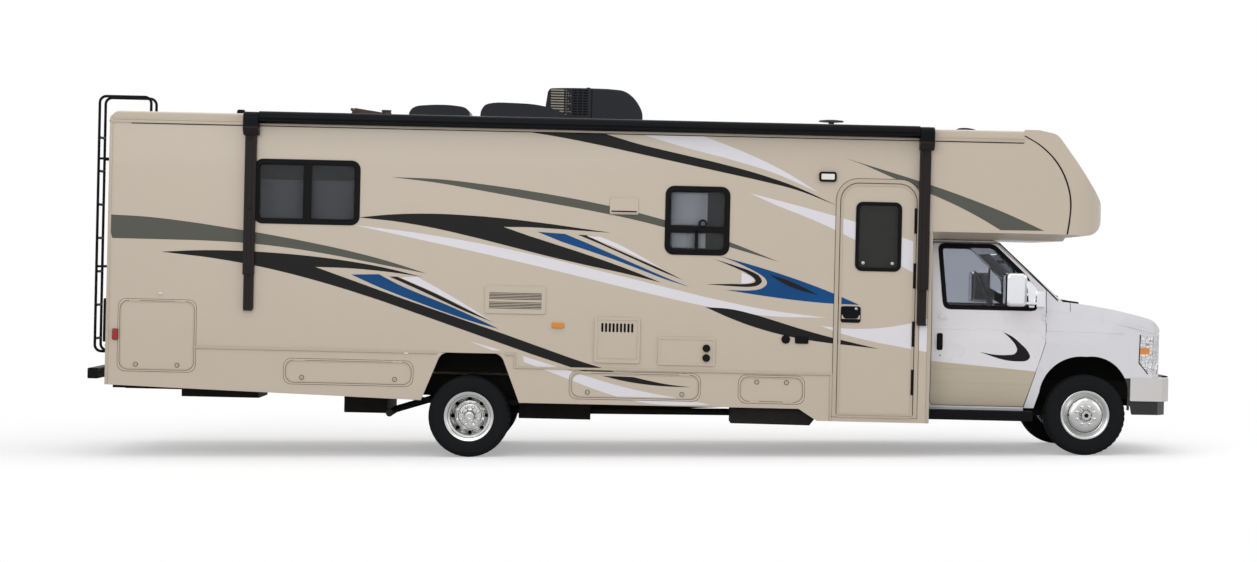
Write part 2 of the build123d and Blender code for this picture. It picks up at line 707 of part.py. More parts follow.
# head u0, u1, upper arm u0, u1, lower arm u0, u1
AWNING_ENDS = [
    (-3610.0, AWNING_U0 - SEAT, -3594.0, -3491.0, -3584.0, -3494.0),
    (AWNING_U1 + SEAT, 2670.0, 2546.0, 2646.0, 2549.0, 2632.0),
]
with BuildPart() as awning_roller:
    with Locations(((AWNING_U0 + AWNING_U1) / 2, AWNING_Y, AWNING_W)):
        Cylinder(55, AWNING_U1 - AWNING_U0, rotation=(0, 90, 0))
awning_parts = [awning_roller.part]
for head0, head1, upper0, upper1, lower0, lower1 in AWNING_ENDS:
    with BuildPart() as awning_end:
        with BuildSketch(Plane.YZ.offset(head0)):
            with BuildLine():
                out, back = -HALF_W - HEAD_OUT, -HALF_W - SEAT
                Polyline((out + 60, HEAD_TOP), (back, HEAD_TOP), (back, HEAD_LOW), (out + 60, HEAD_LOW))
                Line((out + 60, HEAD_LOW), (out, HEAD_LOW + 60))
                Line((out, HEAD_LOW + 60), (out, HEAD_TOP - 60))
                RadiusArc((out, HEAD_TOP - 60), (out + 60, HEAD_TOP), 60)
            make_face()
        extrude(amount=head1 - head0)
        fillet(awning_end.edges().filter_by(GeomType.CIRCLE), 12)
        block(upper0, upper1, -HALF_W - 52, -HALF_W - SEAT, ARM_JOINT_W, HEAD_LOW)
        block(lower0, lower1, -HALF_W - 42, -HALF_W - SEAT, ARM_FOOT_W, ARM_JOINT_W)
    awning_parts.append(awning_end.part)
save(awning_parts, "awning")

# ---- roof gear
ROOF_ON = ROOF_TOP + SEAT
with BuildPart() as air_conditioner:
    with BuildSketch(side_plane(345)):
        with BuildLine():
            Polyline(
                (0, ROOF_ON), (-880, ROOF_ON), (-908, ROOF_ON + 60), (-900, 3360), (-850, 3400),
                (-480, 3411),
            )
            ThreePointArc((-480, 3411), (-150, 3370), (18, 3150))
            Polyline((18, 3150), (0, ROOF_ON))
        make_face()
    extrude(amount=690)
    fillet(air_conditioner.edges().filter_by(Axis.X), 30)
    for louvre in range(9):
        louvre_w = 3135 + louvre * 27
        block(-860, -560, -350, -315, louvre_w, louvre_w + 14, Mode.SUBTRACT)
        block(-860, -560, 315, 350, louvre_w, louvre_w + 14, Mode.SUBTRACT)
        block(-920, -885, -250, 250, louvre_w, louvre_w + 14, Mode.SUBTRACT)
save(air_conditioner.part, "roof_air_conditioner")

# vents and small roof items: u0, u1, y0, y1, top
ROOF_ITEMS = [
    (-2196.0, -1620.0, -290.0, 290.0, 3209.0),
    (-1479.0, -656.0, -900.0, -480.0, 3225.0),
    (1140.0, 1560.0, -230.0, 190.0, 3150.0),
    (2990.0, 3220.0, -120.0, 120.0, 3130.0),
]
roof_items = []
for u0, u1, y0, y1, top in ROOF_ITEMS:
    with BuildPart() as roof_item:
        with BuildSketch(side_plane(y1)):
            with BuildLine():
                Polyline(
                    (u0, ROOF_ON), (u1, ROOF_ON), (u1, ROOF_ON + 25), (u1 - 90, top), (u0 + 50, top),
                    (u0, ROOF_ON + 25), close=True,
                )
            make_face()
        extrude(amount=y1 - y0)
    roof_items.append(roof_item.part)
with BuildPart() as stub_vent:
    with Locations((-2290, -500, ROOF_ON + 40)):
        Cylinder(45, 80)
with BuildPart() as dish:
    with Locations((1810, -500, ROOF_ON + 25)):
        Cylinder(125, 50)
save(roof_items + [stub_vent.part, dish.part], "roof_vents")

# ---- ladder on the rear wall, its rails bent over the roof and in at the foot
LADDER_Y = (-1000.0, -700.0)
LADDER_R = 12.7
LADDER_U = REAR_U_FACE - 147.0
LADDER_FOOT, LADDER_TOP, LADDER_ROOF_U = 852.0, 3199.0, REAR_U_FACE + 326.0
RUNG_LOW, RUNG_PITCH, RUNGS = 968.0, 308.7, 7
with BuildPart() as ladder:
    for rail_y in LADDER_Y:
        with BuildLine() as rail_path:
            FilletPolyline(
                (REAR_U_FACE - SEAT, rail_y, LADDER_FOOT),
                (LADDER_U, rail_y, LADDER_FOOT),
                (LADDER_U, rail_y, LADDER_TOP),
                (LADDER_ROOF_U, rail_y, LADDER_TOP),
                (LADDER_ROOF_U, rail_y, ROOF_ON),
                radius=60,
            )
        with BuildSketch(rail_path.line ^ 0):
            Circle(LADDER_R)
        sweep()
        for standoff_w in (1633.0, 2625.0):
            with Locations(((LADDER_U + REAR_U_FACE - SEAT) / 2, rail_y, standoff_w)):
                Cylinder(LADDER_R - 2, REAR_U_FACE - SEAT - LADDER_U, rotation=(0, 90, 0))
    for rung in range(RUNGS):
        with Locations((LADDER_U, sum(LADDER_Y) / 2, RUNG_LOW + rung * RUNG_PITCH)):
            Cylinder(LADDER_R - 1, LADDER_Y[1] - LADDER_Y[0], rotation=(90, 0, 0))
save(ladder.part, "rear_ladder")

with BuildPart() as rear_bumper:
    block(-5001, -4901, -1230, 1230, 609, 706)
    fillet(rear_bumper.edges().filter_by(Axis.Y), 12)
    for side in (-1, 1):
        y0, y1 = sorted((side * (RAIL_OUT + SEAT), side * (RAIL_OUT + 14)))
        with BuildSketch(side_plane(y1)):
            with BuildLine():
                Polyline(
                    (-4600, 495), (-4905, 495), (-4905, 690), (-4840, 690), (-4840, 557),
                    (-4600, 557), close=True,
                )
            make_face()
        extrude(amount=y1 - y0)
save(rear_bumper.part, "rear_bumper")

with BuildPart() as tail_lamp:
    block(REAR_U_FACE - 28, REAR_U_FACE - SEAT, -1220, -1110, 960, 1330)
save(both_sides(tail_lamp.part), "tail_lamps")

# =====================================================================
# Cab
# =====================================================================


def cab_solid(inset):
    """The van cab's outer form, made smaller by inset; panels are cut from the skin."""
    with BuildPart() as cab:
        with BuildSketch(side_plane(1100)):
            with BuildLine():
                roof_w = PAN_LOW - SEAM - inset
                cowl = (COWL_U - inset * 0.3, COWL_W - inset)
                Polyline(
                    cowl,
                    (COWL_U - 60 - inset * 1.2, COWL_W + 5 - inset),
                    (3335 - inset * 1.2, 2045 - inset * 0.8),
                    (3290 - inset, roof_w),
                    (CAB_REAR, roof_w),
                    (CAB_REAR, CAB_LOW),
                    (4890 - inset, CAB_LOW),
                    (4890 - inset, 850),
                    (4862 - inset, 1190),
                )
                ThreePointArc(
                    cowl,
                    (4364 - inset * 0.2, 1447 - inset),
                    (4690 - inset * 0.4, 1374 - inset),
                )
                ThreePointArc(
                    (4690 - inset * 0.4, 1374 - inset),
                    (4812 - inset * 0.8, 1302 - inset * 0.8),
                    (4862 - inset, 1190),
                )
            make_face()
        extrude(amount=2200)
        with BuildSketch(Plane.XY.offset(400)) as plan:
            with BuildLine():
                ThreePointArc((4835 - inset, -900 + inset), (4885 - inset, 0), (4835 - inset, 900 - inset))
                Polyline(
                    (4835 - inset, 900 - inset),
                    (4760 - inset, 968 - inset),
                    (4560, 988 - inset),
                    (4250, 1003 - inset),
                    (CAB_REAR, 1003 - inset),
                    (CAB_REAR, -1003 + inset),
                    (4250, -1003 + inset),
                    (4560, -988 + inset),
                    (4760 - inset, -968 + inset),
                    (4835 - inset, -900 + inset),
                )
            make_face()
            fillet(plan.vertices().group_by(Axis.X)[-1], 60)
        extrude(amount=1800, mode=Mode.INTERSECT)
        with BuildSketch(Plane.YZ.offset(2600)):
            with BuildLine():
                ThreePointArc((-950 + inset, CAB_LOW), (-1000 + inset, 1150), (-985 + inset, 1440))
                Polyline(
                    (-985 + inset, 1440),
                    (-866 + inset, 2020),
                    (-800 + inset, PAN_LOW - inset),
                    (800 - inset, PAN_LOW - inset),
                    (866 - inset, 2020),
                    (985 - inset, 1440),
                )
                ThreePointArc((985 - inset, 1440), (1000 - inset, 1150), (950 - inset, CAB_LOW))
                Line((950 - inset, CAB_LOW), (-950 + inset, CAB_LOW))
            make_face()
        extrude(amount=2600, mode=Mode.INTERSECT)
    return cab.part


CAB_OUT = cab_solid(0)
CAB_IN = cab_solid(DOOR_T)


def side_core(inset):
    """The cab's cross-section run through its whole length, without nose or windscreen."""
    with BuildPart() as core:
        with BuildSketch(Plane.YZ.offset(2600)):
            with BuildLine():
                ThreePointArc((-950 + inset, CAB_LOW), (-1000 + inset, 1150), (-985 + inset, 1440))
                Polyline(
                    (-985 + inset, 1440),
                    (-866 + inset, 2020),
                    (-800 + inset, PAN_LOW),
                    (800 - inset, PAN_LOW),
                    (866 - inset, 2020),
                    (985 - inset, 1440),
                )
                ThreePointArc((985 - inset, 1440), (1000 - inset, 1150), (950 - inset, CAB_LOW))
                Line((950 - inset, CAB_LOW), (-950 + inset, CAB_LOW))
            make_face()
        extrude(amount=2600)
    return core.part



DOOR_REAR, DOOR_LOW, DOOR_TOP = 2721.0, 532.0, 2028.0


def door_outline(grow, y0, y1):
    """Side-view prism of the right cab door, larger by grow."""
    with BuildPart() as outline:
        with BuildSketch(side_plane(y1)) as face:
            with BuildLine():
                Polyline(
                    (3580, DOOR_LOW),
                    (DOOR_REAR, DOOR_LOW),
                    (DOOR_REAR, DOOR_TOP),
                    (3318, DOOR_TOP),
                    (DOOR_HINGE_U, 1612),
                    (DOOR_HINGE_U, 1130),
                )
                ThreePointArc((DOOR_HINGE_U, 1130), (3678, 830), (3580, DOOR_LOW))
            make_face()
            fillet(face.vertices().sort_by(Axis.X)[0:2], 40)
            if grow:
                offset(amount=grow, kind=Kind.ARC)
        extrude(amount=y1 - y0)
    return outline.part


def glass_outline(shrink, y0, y1):
    """Side-view prism of the door window."""
    with BuildPart() as outline:
        with BuildSketch(side_plane(y1)) as face:
            with BuildLine():
                Polyline(
                    (2799, 2000), (2845, 1440), (3670, 1440), (3600, 1700), (3300, 1985), (3260, 2000),
                    close=True,
                )
            make_face()
            fillet(face.vertices(), 22)
            if shrink:
                offset(amount=-shrink, kind=Kind.ARC)
        extrude(amount=y1 - y0)
    return outline.part


CABIN = [
    (2600, 300), (3582, 300), (3582, 532), (3776.5, 1130), (3776.5, 1412), (3990, 1412),
    (3990, 1700), (3600, 2300), (2600, 2300),
]
with BuildPart() as cab_shell:
    add(CAB_OUT)
    add(CAB_IN, mode=Mode.SUBTRACT)
    add(side_prism(CABIN, -1200, 1200), mode=Mode.INTERSECT)
    with BuildSketch(side_plane(930)):
        with BuildLine():
            Polyline(
                (CAB_REAR, CAB_FLOOR), (3515, CAB_FLOOR), (3515, 780), (3720, 1140), (3850, 1470),
                (3880, 1470), (3755, 1130), (3550, 770), (3550, RAIL_TOP + SEAT),
                (CAB_REAR, RAIL_TOP + SEAT), close=True,
            )
        make_face()
    extrude(amount=1860)
    for side in (-1, 1):
        y0, y1 = sorted((side * 200.0, side * 1300.0))
        add(door_outline(DOOR_GAP, y0, y1) - side_core(DOOR_T + DOOR_GAP), mode=Mode.SUBTRACT)
    with BuildSketch(Plane.YZ.offset(3330)):
        with BuildLine():
            Polyline((-800, 1560), (800, 1560), (700, 1985), (-700, 1985), close=True)
        make_face()
    extrude(amount=700, mode=Mode.SUBTRACT)
    for hinge_y in HOOD_HINGES:
        fixed_hinge("y", (HOOD_HINGE_U, hinge_y, HOOD_HINGE_W), (-32, 0, -16))
save(cab_shell.part, "cab_shell")


def skin(thickness, region, inner=None):
    """Part of the cab's skin of one thickness that lies inside a region."""
    with BuildPart() as panel:
        add(CAB_OUT)
        add(inner if inner else cab_solid(thickness), mode=Mode.SUBTRACT)
        add(region, mode=Mode.INTERSECT)
    return panel.part


# ---- cab doors with their glass and mirrors, drawn on the right and mirrored
with BuildPart() as cab_door:
    add(side_core(0))
    add(side_core(DOOR_T), mode=Mode.SUBTRACT)
    add(door_outline(0, -1300, -200), mode=Mode.INTERSECT)
    add(glass_outline(0, -1300, -200), mode=Mode.SUBTRACT)
    for hinge_w in DOOR_HINGES:
        moving_hinge("w", (DOOR_HINGE_U + 2, -DOOR_HINGE_Y, hinge_w), (-32, 24, 0))
    block(2790, 2850, -1012, -980, 1330, 1360)
save(cab_door.part, "cab_door_right")
save(mirror(cab_door.part, about=Plane.XZ), "cab_door_left")

with BuildPart() as door_glass:
    add(side_core(22))
    add(side_core(22 + PANE_T), mode=Mode.SUBTRACT)
    add(glass_outline(SEAT, -1300, -200), mode=Mode.INTERSECT)
save(door_glass.part, "door_glass_right")
save(mirror(door_glass.part, about=Plane.XZ), "door_glass_left")

MIRROR_Y = 1450.0
with BuildPart() as wing_mirror:
    block(3340, 3531, -MIRROR_Y, -1215, 1458, 1762)
    fillet(wing_mirror.edges().filter_by(Axis.Y), 45)
    fillet(wing_mirror.edges().filter_by(Axis.Z), 30)
    for arm_w in (1490.0, 1570.0):
        block(3690, 3712, -1242, -900, arm_w - 11, arm_w + 11)
        block(3520, 3712, -1242, -1220, arm_w - 11, arm_w + 11)
    block(3680, 3755, -1000, -900, 1455, 1600)
    add(side_core(-SEAT), mode=Mode.SUBTRACT)
save(wing_mirror.part, "mirror_right")
save(mirror(wing_mirror.part, about=Plane.XZ), "mirror_left")

# ---- windscreen
with BuildPart() as windscreen:
    add(cab_solid(14))
    add(cab_solid(14 + PANE_T), mode=Mode.SUBTRACT)
    with BuildSketch(Plane.YZ.offset(3335)):
        with BuildLine():
            Polyline((-799, 1560.5), (799, 1560.5), (699, 1984.5), (-699, 1984.5), close=True)
        make_face()
    extrude(amount=600, mode=Mode.INTERSECT)
save(windscreen.part, "windscreen")

# ---- hood, fenders, grille, lamps
HOOD = [(3995.5, 1700), (5000, 1700), (5000, 1232), (4854, 1232), (3995.5, 1418)]
with BuildPart() as hood:
    add(skin(HOOD_T, side_prism(HOOD, -1200, 1200)))
    for hinge_y in HOOD_HINGES:
        moving_hinge("y", (HOOD_HINGE_U, hinge_y, HOOD_HINGE_W), (40, 0, -16))
save(hood.part, "hood")

LAMP = [(4638, 1215), (5000, 1190), (5000, 857), (4720, 857), (4638, 950)]
LAMP_IN_Y = 640.0
with BuildPart() as fenders:
    add(CAB_OUT)
    add(cab_solid(FENDER_T), mode=Mode.SUBTRACT)
    with BuildSketch(side_plane(1200)):
        with BuildLine():
            Line((3776.9, 1130), (3776.9, 1411.5))
            Polyline(
                (3776.9, 1411.5), (3990, 1411.5), (4856, 1225.5), (5000, 1225.5), (5000, 819.5),
                (4560, 819.5), (4560, 519), (3586, 519),
            )
            ThreePointArc((3586, 519), (3684, 830), (3776.9, 1130))
        make_face()
    extrude(amount=2400, mode=Mode.INTERSECT)
    with BuildSketch(side_plane(1200)):
        with BuildLine():
            Line(FENDER_ARCH[0], FENDER_ARCH[1])
            ThreePointArc(*FENDER_ARCH[1:4])
            ThreePointArc(*FENDER_ARCH[3:6])
            Polyline(FENDER_ARCH[5], (4540, 400), (3640, 400), FENDER_ARCH[0])
        make_face()
    extrude(amount=2400, mode=Mode.SUBTRACT)
    block(4600, 5100, -LAMP_IN_Y, LAMP_IN_Y, 500, 1300, Mode.SUBTRACT)
    add(side_prism(LAMP, -1200, 1200), mode=Mode.SUBTRACT)
    for side in (-1, 1):
        for hinge_w in DOOR_HINGES:
            fixed_hinge("w", (DOOR_HINGE_U + 2, side * DOOR_HINGE_Y, hinge_w), (16, side * -24, 0))
save(fenders.part, "front_fenders")

# arch over each steered wheel, seated inside the fender
with BuildPart() as front_house:
    with BuildSketch(side_plane(-520)):
        with Locations((FRONT_U, FRONT_W)):
            Circle(FRONT_ARCH_R + 30)
            Circle(FRONT_ARCH_R + 20, mode=Mode.SUBTRACT)
    extrude(amount=480)
    add(cab_solid(FENDER_T + SEAT), mode=Mode.INTERSECT)
    block(3000, 5200, -1010, -500, -200, 560, Mode.SUBTRACT)
    block(4530, 5200, -1010, -500, 500, 880, Mode.SUBTRACT)
    block(3000, 3800, -1010, -880, 500, 1100, Mode.SUBTRACT)
save(both_sides(rear_house.part) + both_sides(front_house.part), "wheel_houses")

LAMP_T = 70.0
CAB_LAMP = cab_solid(LAMP_T)
with BuildPart() as headlamp:
    add(skin(LAMP_T, side_prism(LAMP, -1200, -LAMP_IN_Y - SEAM, 0), CAB_LAMP))
    add(cab_solid(1.5), mode=Mode.INTERSECT)
save(both_sides(headlamp.part), "headlamps")

GRILLE_T = 50.0
GRILLE_LOW, GRILLE_TOP = 819.5, 1225.0
with BuildPart() as grille:
    add(CAB_OUT)
    add(cab_solid(GRILLE_T), mode=Mode.SUBTRACT)
    with Locations((4900, 0, (GRILLE_LOW + GRILLE_TOP) / 2)):
        Box(600, 2 * LAMP_IN_Y, GRILLE_TOP - GRILLE_LOW, mode=Mode.INTERSECT)
    for slot in range(4):
        slot_w = 905 + slot * 72
        block(4600, 5000, -560, -12, slot_w, slot_w + 50, Mode.SUBTRACT)
        block(4600, 5000, 12, 560, slot_w, slot_w + 50, Mode.SUBTRACT)
save(grille.part, "front_grille")


BUMPER_U, BUMPER_REAR_U = 4985.0, 4560.0


def bumper_plan(inset):
    """Bumper outline from above as a closed sketch line."""
    corner, cheek = (BUMPER_U - 48 - inset, 850 - inset), (BUMPER_U - 130 - inset, 975 - inset)
    with BuildSketch(Plane.XY) as plan:
        with BuildLine():
            ThreePointArc((corner[0], -corner[1]), (BUMPER_U - inset, 0), corner)
            Polyline(
                corner,
                cheek,
                (BUMPER_REAR_U, 1010 - inset),
                (BUMPER_REAR_U, -1010 + inset),
                (cheek[0], -cheek[1]),
                (corner[0], -corner[1]),
            )
        make_face()
    return plan.sketch


BUMPER_T = 45.0
with BuildPart() as front_bumper:
    extrude(Pos(0, 0, 606) * bumper_plan(0), amount=213)
    extrude(Pos(0, 0, CAB_LOW) * bumper_plan(30), amount=127)
    extrude(Pos(0, 0, 400) * bumper_plan(30 + BUMPER_T), amount=500, mode=Mode.SUBTRACT)
    with BuildSketch(side_plane(1200)):
        with BuildLine():
            Polyline(
                (BUMPER_REAR_U - 60, 400), (BUMPER_REAR_U, 606), (BUMPER_REAR_U + 40, 400), close=True
            )
        make_face()
    extrude(amount=2400, mode=Mode.SUBTRACT)
save(front_bumper.part, "front_bumper")

# ---- cab interior
with BuildPart() as dashboard:
    with BuildSketch(side_plane(915)):
        with BuildLine():
            Polyline(
                (3440, 1150), (3420, 1330), (3480, 1390), (3833, 1428), (3723.5, 1150),
                close=True,
            )
        make_face()
    extrude(amount=1830)
    add(cab_solid(DOOR_T + SEAT), mode=Mode.INTERSECT)
with BuildPart() as steering_wheel:
    tilt = Plane(origin=(3290, 400, 1290), z_dir=(0.86, 0, -0.5))
    with Locations(tilt.location):
        Torus(185, 15)
    with BuildSketch(tilt.offset(-12)):
        Circle(55)
        Rectangle(380, 30)
    extrude(amount=24)
    with BuildSketch(tilt):
        Circle(25)
    extrude(amount=220)
save([dashboard.part, steering_wheel.part - dashboard.part], "dashboard")

with BuildPart() as cab_seat:
    block(2830, 3250, -620, -240, CAB_FLOOR + SEAT, 880)
    with BuildSketch(side_plane(-180)):
        with BuildLine():
            Polyline(
                (2800, 880), (3310, 880), (3320, 990), (2960, 1000), (2850, 1640), (2730, 1640),
                close=True,
            )
        make_face()
    extrude(amount=500)
    fillet(cab_seat.edges().filter_by(Axis.Y).group_by(Axis.Z)[-1], 30)
    block(2740, 2830, -560, -300, 1635, 1830)
save(both_sides(cab_seat.part), "cab_seats")

with BuildPart() as running_board:
    block(2690, 3650, -1120, -900, 404, 493)
    add(cab_solid(-SEAT), mode=Mode.SUBTRACT)
    block(2690, 3650, -950, -900, 400, CAB_LOW - SEAT, Mode.SUBTRACT)
save(both_sides(running_board.part), "running_boards")

# =====================================================================
# Wheels, steering and front axle, level frame
# =====================================================================
DISC_AT = 120.0
DISC_T = 10.0
STUD_R = 82.5


def tyre_ring():
    """Tyre as a ring about Y, its tread as tall as the lugs."""
    with BuildPart() as ring:
        with BuildSketch(Plane.YX):
            with BuildLine():
                Polyline((-79.7, 206.5), (-79.7, 222.8), (-92, 226))
                ThreePointArc((-92, 226), (-TYRE_W / 2, 288), (-99, 350))
                ThreePointArc((-99, 350), (-93, 363), (-80, 369))
                Polyline((-80, 369), (-62, TYRE_R), (62, TYRE_R), (80, 369))
                ThreePointArc((80, 369), (93, 363), (99, 350))
                ThreePointArc((99, 350), (TYRE_W / 2, 288), (92, 226))
                Polyline((92, 226), (79.7, 222.8), (79.7, 206.5), (62, 206.5), (72, 232))
                ThreePointArc((72, 232), (99, 288), (84, 344))
                Polyline((84, 344), (62, 355), (-62, 355), (-84, 344))
                ThreePointArc((-84, 344), (-99, 288), (-72, 232))
                Polyline((-72, 232), (-62, 206.5), (-79.7, 206.5))
            make_face()
        revolve(axis=Axis.Y)
    return ring.part


def rim(outward):
    """Pressed rim about Y with its disc toward outward (-1 or 1)."""
    s = outward
    with BuildPart() as wheel:
        with BuildSketch(Plane.YX):
            with BuildLine():
                Polyline(
                    (s * -88, 222), (s * -80, 222), (s * -80, 206.2), (s * -48, 204), (s * -38, 184),
                    (s * 14, 184), (s * 26, 204), (s * 80, 206.2), (s * 80, 222), (s * 88, 222),
                    (s * 84, 199), (s * 30, 197), (s * 18, 177), (s * -42, 177), (s * -52, 197),
                    (s * -84, 199), close=True,
                )
            make_face()
            with BuildLine():
                Polyline(
                    (s * 40, 199), (s * 62, 199), (s * 90, 176), (s * 122, 142),
                    (s * (DISC_AT + DISC_T), 122), (s * (DISC_AT + DISC_T), 62), (s * DISC_AT, 62),
                    (s * DISC_AT, 118), (s * 112, 136), (s * 80, 169), (s * 40, 192), close=True,
                )
            make_face()
        revolve(axis=Axis.Y)
        with Locations(Rot(90, 0, 0)):
            with PolarLocations(156, 8):
                Cylinder(19, 600, mode=Mode.SUBTRACT)
            with PolarLocations(STUD_R, 8):
                Cylinder(8.5, 600, mode=Mode.SUBTRACT)
    return wheel.part


def hub(face_y, inner_y, bore, studs_to, cap_to):
    """Right-hand hub about Y: flange behind the disc at face_y, studs and cap outward."""
    with BuildPart() as body:
        with BuildSketch(Plane.YX):
            with BuildLine():
                Polyline(
                    (face_y, 61.7), (face_y, 108), (face_y + 12, 108), (face_y + 20, 70),
                    (inner_y, 60), (inner_y, bore), (cap_to + 30, bore), (cap_to + 30, 1),
                    (cap_to, 1), (cap_to, 42), (cap_to + 12, 52), (cap_to + 30, 55),
                    (studs_to + 15, 61.7), close=True,
                )
            make_face()
        revolve(axis=Axis.Y)
        with Locations(Location((0, (face_y + studs_to) / 2, 0), (90, 0, 0))):
            with PolarLocations(STUD_R, 8):
                Cylinder(8.2, face_y - studs_to)
    return body.part


FRONT_AT = Pos(FRONT_X, 0, AXLE_Z)
REAR_AT = Pos(REAR_X, 0, AXLE_Z)
tyre = tyre_ring()
front_rim = rim(-1)
FRONT_FACE = -(FRONT_TRACK + DISC_AT) + SEAT
front_hub = hub(FRONT_FACE, -868, BORE_R + PIN_FIT, -FRONT_TRACK - DISC_AT - 32, -1062)
front_wheel = [Pos(0, -FRONT_TRACK, 0) * front_rim, front_hub]
REAR_FACE = -(DUAL_IN + DISC_AT) + SEAT
OUTER_RIM_Y = -(DUAL_IN + 2 * DISC_AT + 2 * DISC_T + SEAT)
rear_hub = hub(REAR_FACE, -760, 40 + PIN_FIT, -1032, -1112)
rear_wheels = [Pos(0, -DUAL_IN, 0) * rim(-1), Pos(0, OUTER_RIM_Y, 0) * rim(1), rear_hub]
rear_tyres = [Pos(0, -DUAL_IN, 0) * tyre, Pos(0, OUTER_RIM_Y, 0) * tyre]
front_tyres = [Pos(0, -FRONT_TRACK, 0) * tyre]

for parts, name, at in (
    (front_tyres, "front_tyre", FRONT_AT),
    (front_wheel, "front_wheel", FRONT_AT),
    (rear_tyres, "rear_tyres", REAR_AT),
    (rear_wheels, "rear_wheels", REAR_AT),
):
    right = [at * part for part in parts]
    left = [mirror(part, about=Plane.XZ) for part in right]
    save(right, f"{name}_right", LEVEL)
    save(left, f"{name}_left", LEVEL)

# knuckle: fork over the axle's boss, spindle outward into the hub
BOSS_H = 96.0
KINGPIN_R = 16.0
with BuildPart() as knuckle:
    for side in (-1, 1):
        with Locations((0, -KINGPIN_Y, side * (BOSS_H / 2 + SEAT + 12))):
            Cylinder(34, 24)
        w0, w1 = sorted((side * (BOSS_H / 2 + SEAT), side * (BOSS_H / 2 + SEAT + 24)))
        block(-26, 26, -KINGPIN_Y - 60, -KINGPIN_Y, w0, w1)
    block(-40, 40, -KINGPIN_Y - 66, -KINGPIN_Y - 44, -72, 72)
    with Locations((0, -925, 0)):
        Cylinder(BORE_R, 150, rotation=(90, 0, 0))
    with Locations((0, -KINGPIN_Y, 0)):
        Cylinder(KINGPIN_R, BOSS_H + 40)
    block(-150, 0, -KINGPIN_Y - 12, -KINGPIN_Y + 12, -72, -54)
save(FRONT_AT * knuckle.part, "knuckle_right", LEVEL)
save(mirror(FRONT_AT * knuckle.part, about=Plane.XZ), "knuckle_left", LEVEL)

# twin I-beam axle: each beam starts at the far rail and carries one kingpin boss
front_beams = []
for side, lane in ((-1, 32.0), (1, -32.0)):
    with BuildPart() as beam:
        with Locations((0, side * KINGPIN_Y, 0)):
            Cylinder(36, BOSS_H)
        y0, y1 = sorted((side * (KINGPIN_Y - 20), side * (KINGPIN_Y - 130)))
        block(min(lane - 26, -26), max(lane + 26, 26), y0, y1, -40, 40)
        y0, y1 = sorted((side * (KINGPIN_Y - 130), -side * 330))
        block(lane - 26, lane + 26, y0, y1, -40, 40)
        arm0, arm1 = sorted((side * 490, side * 540))
        block(-900, lane - 26, arm0, arm1, -25, 25)
        with Locations((0, side * KINGPIN_Y, 0)):
            Cylinder(KINGPIN_R + PIN_FIT, BOSS_H, mode=Mode.SUBTRACT)
    front_beams.append(FRONT_AT * beam.part)
save(front_beams, "front_axle_beams", LEVEL)

# coil springs up to towers on the rails
coils = []
for side in (-1, 1):
    with BuildPart() as coil:
        with Locations((0, side * 585, 40 + SEAT + 130)):
            Cylinder(62, 260)
            Cylinder(48, 260, mode=Mode.SUBTRACT)
    coils.append(FRONT_AT * coil.part)
save(coils, "front_springs", LEVEL)
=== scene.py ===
# %% [markdown]
# # A class C motorhome
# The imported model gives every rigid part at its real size. This lesson dresses it: paint,
# printed stripes, window frames, lamps, vents, tyres and trim, each riding on the body it
# is fastened to.

# %% Load the frame
import math

import bmesh
import bpy
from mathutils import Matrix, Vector
from mathutils.geometry import delaunay_2d_cdt


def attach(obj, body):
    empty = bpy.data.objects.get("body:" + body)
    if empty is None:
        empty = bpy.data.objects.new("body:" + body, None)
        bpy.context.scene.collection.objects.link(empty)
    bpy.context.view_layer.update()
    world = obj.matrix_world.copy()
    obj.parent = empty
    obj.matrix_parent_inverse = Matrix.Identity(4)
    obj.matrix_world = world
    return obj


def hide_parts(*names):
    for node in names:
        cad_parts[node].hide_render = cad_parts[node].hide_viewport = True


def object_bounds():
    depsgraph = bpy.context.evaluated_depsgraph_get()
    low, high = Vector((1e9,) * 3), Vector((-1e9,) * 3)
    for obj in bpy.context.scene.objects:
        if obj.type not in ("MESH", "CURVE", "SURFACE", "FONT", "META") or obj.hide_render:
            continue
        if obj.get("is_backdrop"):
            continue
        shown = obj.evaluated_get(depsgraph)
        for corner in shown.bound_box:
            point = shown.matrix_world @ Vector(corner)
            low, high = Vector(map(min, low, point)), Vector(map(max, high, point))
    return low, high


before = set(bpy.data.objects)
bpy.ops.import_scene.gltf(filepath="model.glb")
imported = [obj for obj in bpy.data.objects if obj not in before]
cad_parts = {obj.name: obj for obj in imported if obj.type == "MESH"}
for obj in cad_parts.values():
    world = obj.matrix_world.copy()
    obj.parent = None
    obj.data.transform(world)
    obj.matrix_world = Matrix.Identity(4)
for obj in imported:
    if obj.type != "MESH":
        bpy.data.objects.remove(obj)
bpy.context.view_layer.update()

# %% [markdown]
# ## One drawing frame
# The coach sits a little nose-down on its level wheels, so it is easier to draw everything
# level and tip it once. `at` takes body millimetres (u forward, y left, w up) and gives
# metres in the shared frame.

# %% Body frame to shared frame
RAKE = math.radians(1.3)
SHIFT = -0.0083     # metres from the drawing's origin to the shared one
SIDE = 1276.0       # half width of the coach over its walls
BACK = -4834        # the rear wall's face
ROOF = 3057         # the roof's top face
SIDES = ((-1, "right"), (1, "left"))


def at(u, y, w):
    """Body millimetres to shared-frame metres."""
    x = u * math.cos(RAKE) + w * math.sin(RAKE)
    z = w * math.cos(RAKE) - u * math.sin(RAKE)
    return Vector((x / 1000 + SHIFT, y / 1000, z / 1000))


print("rear corner of the roof", [round(v, 3) for v in at(BACK, 0, ROOF)])

# %% [markdown]
# ## Colours and nodes
# Paint colours are written as sRGB hex, the way a colour picker shows them, and turned to
# the linear values that a shader works in. One small function, `node`, adds a node with
# its settings and links.

